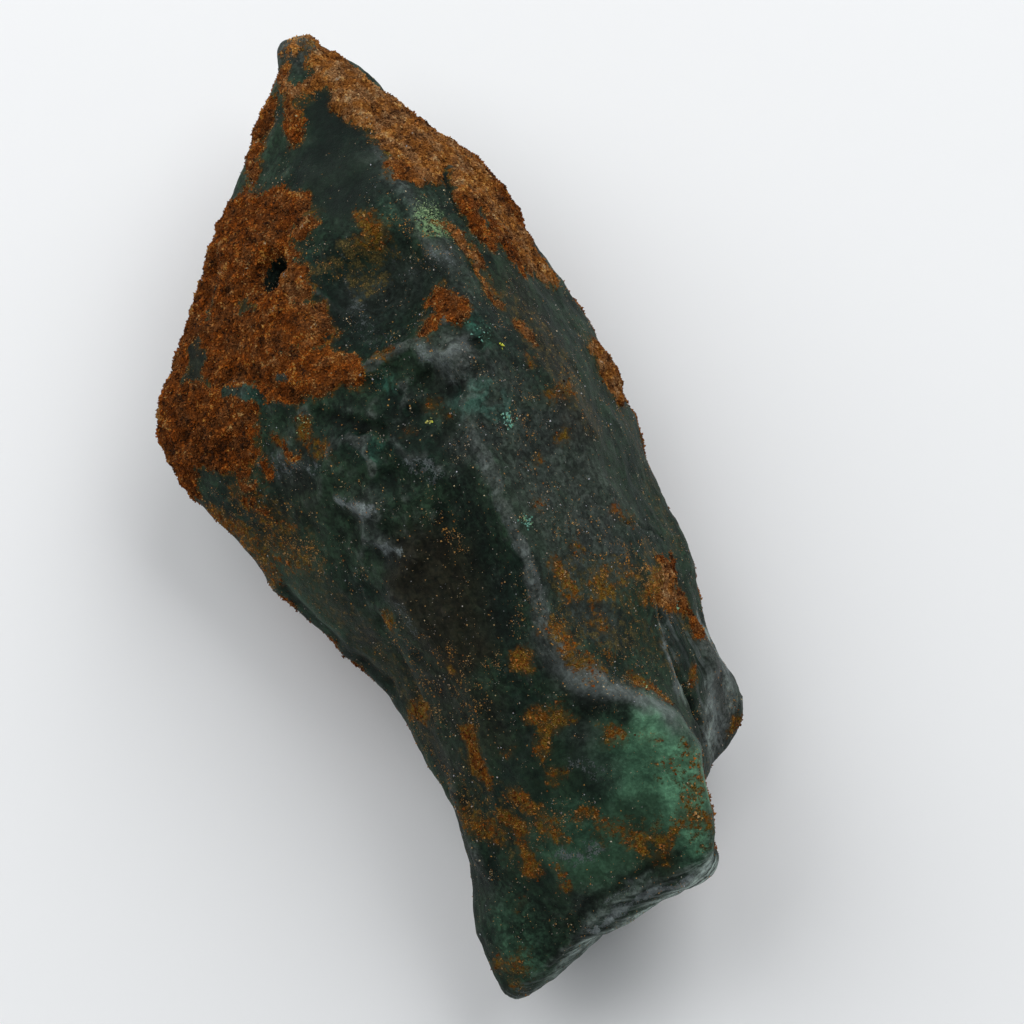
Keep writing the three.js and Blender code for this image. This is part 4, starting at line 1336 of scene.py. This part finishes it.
class EMERALD_OT_grow_crust(bpy.types.Operator):
    """Grow the grains of the earthy crust where the stone's skin is crusted"""

    bl_idname = "emerald.grow_crust"
    bl_label = "Grow crust"

    PIECES = ("crust_grains_a", "crust_grains_b", "crust_grains_c")
    ORDINARY, VARIETY, BRIGHTEST = 0.5, 0.115, 0.86  # the tones of grains, between 0 and 1
    LOWEST, HIGHEST = -0.25, 0.15  # the relief that still makes a difference, in millimetres
    ON_STAINS = 0.5  # how thickly the grains lie on stains, as a share of the crust
    BY_RELIEF, BY_TAN = 1.4, 0.08  # how much the tone rises with the height, as a painted highlight on what stands out and painted shade in hollows, and with the tan
    BY_SOOT, BY_CRACK = 0.3, 0.4  # and how much it falls in soot and painted shade, and in the dark lines
    FINE_PATCH, BROAD_PATCH = (0.35, 0.6), (0.25, 2.6)  # how much patches change it, and their size
    CRACK_SPACING = 1.3  # of the dark lines between patches, in millimetres
    CRACK_WIDTH = 0.09  # of the same lines, in units of their noise

    def execute(self, context):
        settings = context.scene.emerald_crust
        scatter = Scatter(bpy.data.objects["stone"], SEED)
        material = earth_material(settings)
        weight = scatter.attribute("crust") ** 1.3
        weight = weight + self.ON_STAINS * scatter.attribute("stain") ** 2
        tan, relief, soot_and_shade = (scatter.attribute(name) for name in ("tan", "relief", "soot_and_shade"))
        for name in self.PIECES:
            grains, chosen = scatter.throw(settings.grains_per_piece, weight, settings.grain_radius)
            places = scatter.middles[chosen]
            tones = self.ORDINARY + self.VARIETY * scatter.rng.normal(size=len(chosen))
            # a painted highlight on grains that stand out, painted shade on those in hollows
            tones += self.BY_RELIEF * np.clip(relief[chosen], self.LOWEST, self.HIGHEST)
            tones += self.patches(places)
            tones += self.BY_TAN * tan[chosen] - self.BY_SOOT * soot_and_shade[chosen]
            tones -= self.BY_CRACK * self.cracks(places)
            dustiness = np.clip(tan[chosen] + 0.5 * noise_field(places, 1.6, 2, 7.0), 0.0, 1.0)
            looks = {"tone": np.clip(tones, 0.0, self.BRIGHTEST), "tan": dustiness}
            scatter.join(name, grains, looks, material, CRUST_SLOT)
        return {"FINISHED"}

    def patches(self, places):
        """Brighter and darker patches of the crust."""
        (fine, fine_size), (broad, broad_size) = self.FINE_PATCH, self.BROAD_PATCH
        patches = fine * noise_field(places, fine_size, 2, 4.0)
        return patches + broad * noise_field(places, broad_size, 2, 5.0)

    def cracks(self, places):
        """1 in the middle of the dark lines between patches, and 0 away from them."""
        return np.exp(-((noise_field(places, self.CRACK_SPACING, 2, 12.0) / self.CRACK_WIDTH) ** 2))


class EMERALD_OT_sprinkle_dust(bpy.types.Operator):
    """Sprinkle fine dust over the stone"""

    bl_idname = "emerald.sprinkle_dust"
    bl_label = "Sprinkle dust"

    TONES = (0.66, 0.76, 0.84, 0.92, 0.99)
    SHARES = (0.06, 0.09, 0.27, 0.36, 0.22)
    BRIGHTEST_EARTH = 0.85  # the tone of coloured dust at most; brighter dust is grey
    VARIETY = 0.6  # of the sizes
    EVERYWHERE = 0.06  # dust where none has drifted
    GOLDEN, ON_EARTH = 4.0, 1.5  # what is added where golden dust gathers, and on thin earth
    OFF_GLOSS = 0.75  # the share that is missing where the stone is glossy
    UNDERNEATH = 0.15  # dust that clings to the underside
    DRIFT_SIZE, CLUMP_SIZE = 2.5, 0.8  # millimetres across
    ON_OLIVE = 0.6  # the earth of the olive film, as a share of a stain's
    COLOURING = 2.5  # how readily dust takes the earth's colour

    def execute(self, context):
        settings = context.scene.emerald_crust
        scatter = Scatter(bpy.data.objects["stone"], SEED + 1)
        middles = scatter.middles
        drift = smooth_step(-0.1, 0.45, noise_field(middles, self.DRIFT_SIZE, shift=8.0)) ** 2
        clumps = smooth_step(-0.2, 0.5, noise_field(middles, self.CLUMP_SIZE, shift=9.0))
        upward = smooth_step(-0.2, 0.5, scatter.outward[:, 2])
        crust, speckle = scatter.attribute("crust"), scatter.attribute("speckle")
        earthy = np.maximum(scatter.attribute("stain"), self.ON_OLIVE * scatter.attribute("olive"))
        fringe = 4.0 * crust * (1.0 - crust)  # 1 along the edge of the crust
        dull = 1.0 - self.OFF_GLOSS * scatter.attribute("gloss")
        settled = (self.EVERYWHERE + drift * clumps) * dull
        settled *= 1.0 - crust
        golden = self.GOLDEN * speckle * clumps
        weight = settled + golden + self.ON_EARTH * earthy * earthy + fringe
        weight *= self.UNDERNEATH + upward
        grains, chosen = scatter.throw(
            settings.dust_grains, weight, settings.dust_radius, self.VARIETY
        )
        tones = scatter.rng.choice(self.TONES, len(chosen), p=self.SHARES)
        coloured = self.COLOURING * np.maximum(np.maximum(speckle, earthy), fringe)[chosen]
        coloured = scatter.rng.random(len(chosen)) < coloured
        tans = scatter.rng.uniform(0.4, 1.2, len(chosen)).clip(0.0, 1.0)
        looks = {
            "tone": np.where(coloured, np.minimum(tones, self.BRIGHTEST_EARTH), tones),
            "tan": np.where(coloured, 0.5 * tans, tans),
        }
        scatter.join("dust", grains, looks, bpy.data.materials["earth_crust"], CRUST_SLOT)
        return {"FINISHED"}


class EMERALD_OT_set_flecks(bpy.types.Operator):
    """Set the few bright mineral flecks"""

    bl_idname = "emerald.set_flecks"
    bl_label = "Set flecks"

    VARIETY = 0.1  # of the tones

    def execute(self, context):
        stone = bpy.data.objects["stone"]
        scatter, skin = Scatter(stone, SEED + 2), Skin(stone)
        grains, tones = [], []
        for x, y, reach, count, radius, tone in FLECKS:
            away = distance_to_line(scatter.middles, [skin.place(x, y)])
            thrown, chosen = scatter.throw(count, np.exp(-0.5 * (away / reach) ** 2), radius * MM)
            grains.append(thrown)
            tones.append(FLECK_TONES[tone] + scatter.rng.uniform(-self.VARIETY, self.VARIETY, count))
        looks = {"tone": np.concatenate(tones)}
        scatter.join("flecks", np.concatenate(grains), looks, fleck_material(), STONE_SLOT)
        return {"FINISHED"}


# ---- Stage --------------------------------------------------------------------------------------


class EMERALD_OT_set_stage(bpy.types.Operator):
    """Lay the pale floor, and set the soft lights and the camera"""

    bl_idname = "emerald.set_stage"
    bl_label = "Set stage"

    AIM = Vector((7.1, -3.7, 14.0)) * MM
    WIDTH_SEEN = 95.7 * MM
    NEAREST_SEEN = 0.01
    FLOOR_RADIUS = 4.0
    LIGHT_DISTANCE = 0.9
    LIGHT_SIZE = 0.8
    LIGHT_ELEVATION = 46  # degrees, and azimuths too
    KEY_AZIMUTH, FILL_AZIMUTH = 125, -140
    WALLS = 0.1, (0.6, 0.62, 0.64, 1)  # how high they reach in the world, and their colour
    CEILING = 0.75, (0.1, 0.105, 0.11, 1)

    def execute(self, context):
        settings = context.scene.emerald_stage
        self.lay_floor(settings)
        self.light_world(context)
        self.add_light("key_light", settings.key_power, self.KEY_AZIMUTH)
        self.add_light("fill_light", settings.fill_power, self.FILL_AZIMUTH)
        self.set_camera(context, settings)
        context.scene.view_settings.view_transform = "Standard"
        return {"FINISHED"}

    @staticmethod
    def way_back(azimuth, elevation):
        """From the stone towards a camera or a light: azimuth 0 looks along +Y."""
        level = math.cos(elevation)
        return Vector((math.sin(azimuth) * level, -math.cos(azimuth) * level, math.sin(elevation)))

    def lay_floor(self, settings):
        bpy.ops.object.select_all(action="DESELECT")
        bpy.ops.mesh.primitive_circle_add(
            vertices=64, radius=self.FLOOR_RADIUS, fill_type="NGON", location=(0, 0, 0)
        )
        floor = bpy.context.object
        floor.name = "floor"
        floor.data.materials.append(floor_material(settings.floor_colour))

    def light_world(self, context):
        """A pale room: bright walls and a darker ceiling."""
        world = bpy.data.worlds.new("pale_room")
        context.scene.world = world
        world.use_nodes = True
        nodes, links = world.node_tree.nodes, world.node_tree.links
        place = nodes.new("ShaderNodeTexCoord")
        split = nodes.new("ShaderNodeSeparateXYZ")
        ramp = nodes.new("ShaderNodeValToRGB")
        links.new(place.outputs["Generated"], split.inputs[0])
        links.new(split.outputs["Z"], ramp.inputs[0])
        links.new(ramp.outputs[0], nodes["Background"].inputs["Color"])
        for element, (height, colour) in zip(ramp.color_ramp.elements, (self.WALLS, self.CEILING)):
            element.position = height
            element.color = colour
        nodes["Background"].inputs["Strength"].default_value = 1.0

    def add_light(self, name, power, azimuth):
        light = bpy.data.lights.new(name, "AREA")
        light.energy = power
        light.size = self.LIGHT_SIZE
        lamp = bpy.data.objects.new(name, light)
        bpy.context.collection.objects.link(lamp)
        back = self.way_back(math.radians(azimuth), math.radians(self.LIGHT_ELEVATION))
        lamp.location = self.AIM + back * self.LIGHT_DISTANCE
        lamp.rotation_euler = (-back).to_track_quat("-Z", "Y").to_euler()

    def set_camera(self, context, settings):
        camera = bpy.data.cameras.new("camera")
        camera.lens = camera.sensor_width * settings.camera_distance / self.WIDTH_SEEN
        camera.clip_start = self.NEAREST_SEEN
        holder = bpy.data.objects.new("camera", camera)
        context.collection.objects.link(holder)
        back = self.way_back(settings.camera_azimuth, settings.camera_elevation)
        holder.location = self.AIM + back * settings.camera_distance
        holder.rotation_euler = (-back).to_track_quat("-Z", "Y").to_euler()
        context.scene.camera = holder


class EMERALD_PT_panel(bpy.types.Panel):
    bl_idname = "EMERALD_PT_panel"
    bl_label = "Raw emerald"
    bl_space_type = "VIEW_3D"
    bl_region_type = "UI"
    bl_category = "Raw emerald"

    def draw(self, context):
        for operator in OPERATORS:
            self.layout.operator(operator.bl_idname)
        for name in SETTINGS:
            settings = getattr(context.scene, name)
            box = self.layout.box()
            for key in settings.__annotations__:
                box.prop(settings, key)


SETTINGS = {
    "emerald_stone": StoneSettings,
    "emerald_crust": CrustSettings,
    "emerald_stage": StageSettings,
}
OPERATORS = (
    EMERALD_OT_carve_stone,
    EMERALD_OT_grow_crust,
    EMERALD_OT_sprinkle_dust,
    EMERALD_OT_set_flecks,
    EMERALD_OT_set_stage,
)
CLASSES = (*SETTINGS.values(), *OPERATORS, EMERALD_PT_panel)


def register():
    for cls in CLASSES:
        bpy.utils.register_class(cls)
    for name, group in SETTINGS.items():
        setattr(bpy.types.Scene, name, PointerProperty(type=group))


def unregister():
    for name in SETTINGS:
        delattr(bpy.types.Scene, name)
    for cls in reversed(CLASSES):
        bpy.utils.unregister_class(cls)


def main():
    register()
    bpy.ops.emerald.carve_stone()
    bpy.ops.emerald.grow_crust()
    bpy.ops.emerald.sprinkle_dust()
    bpy.ops.emerald.set_flecks()
    bpy.ops.emerald.set_stage()


if __name__ == "__main__":
    main()
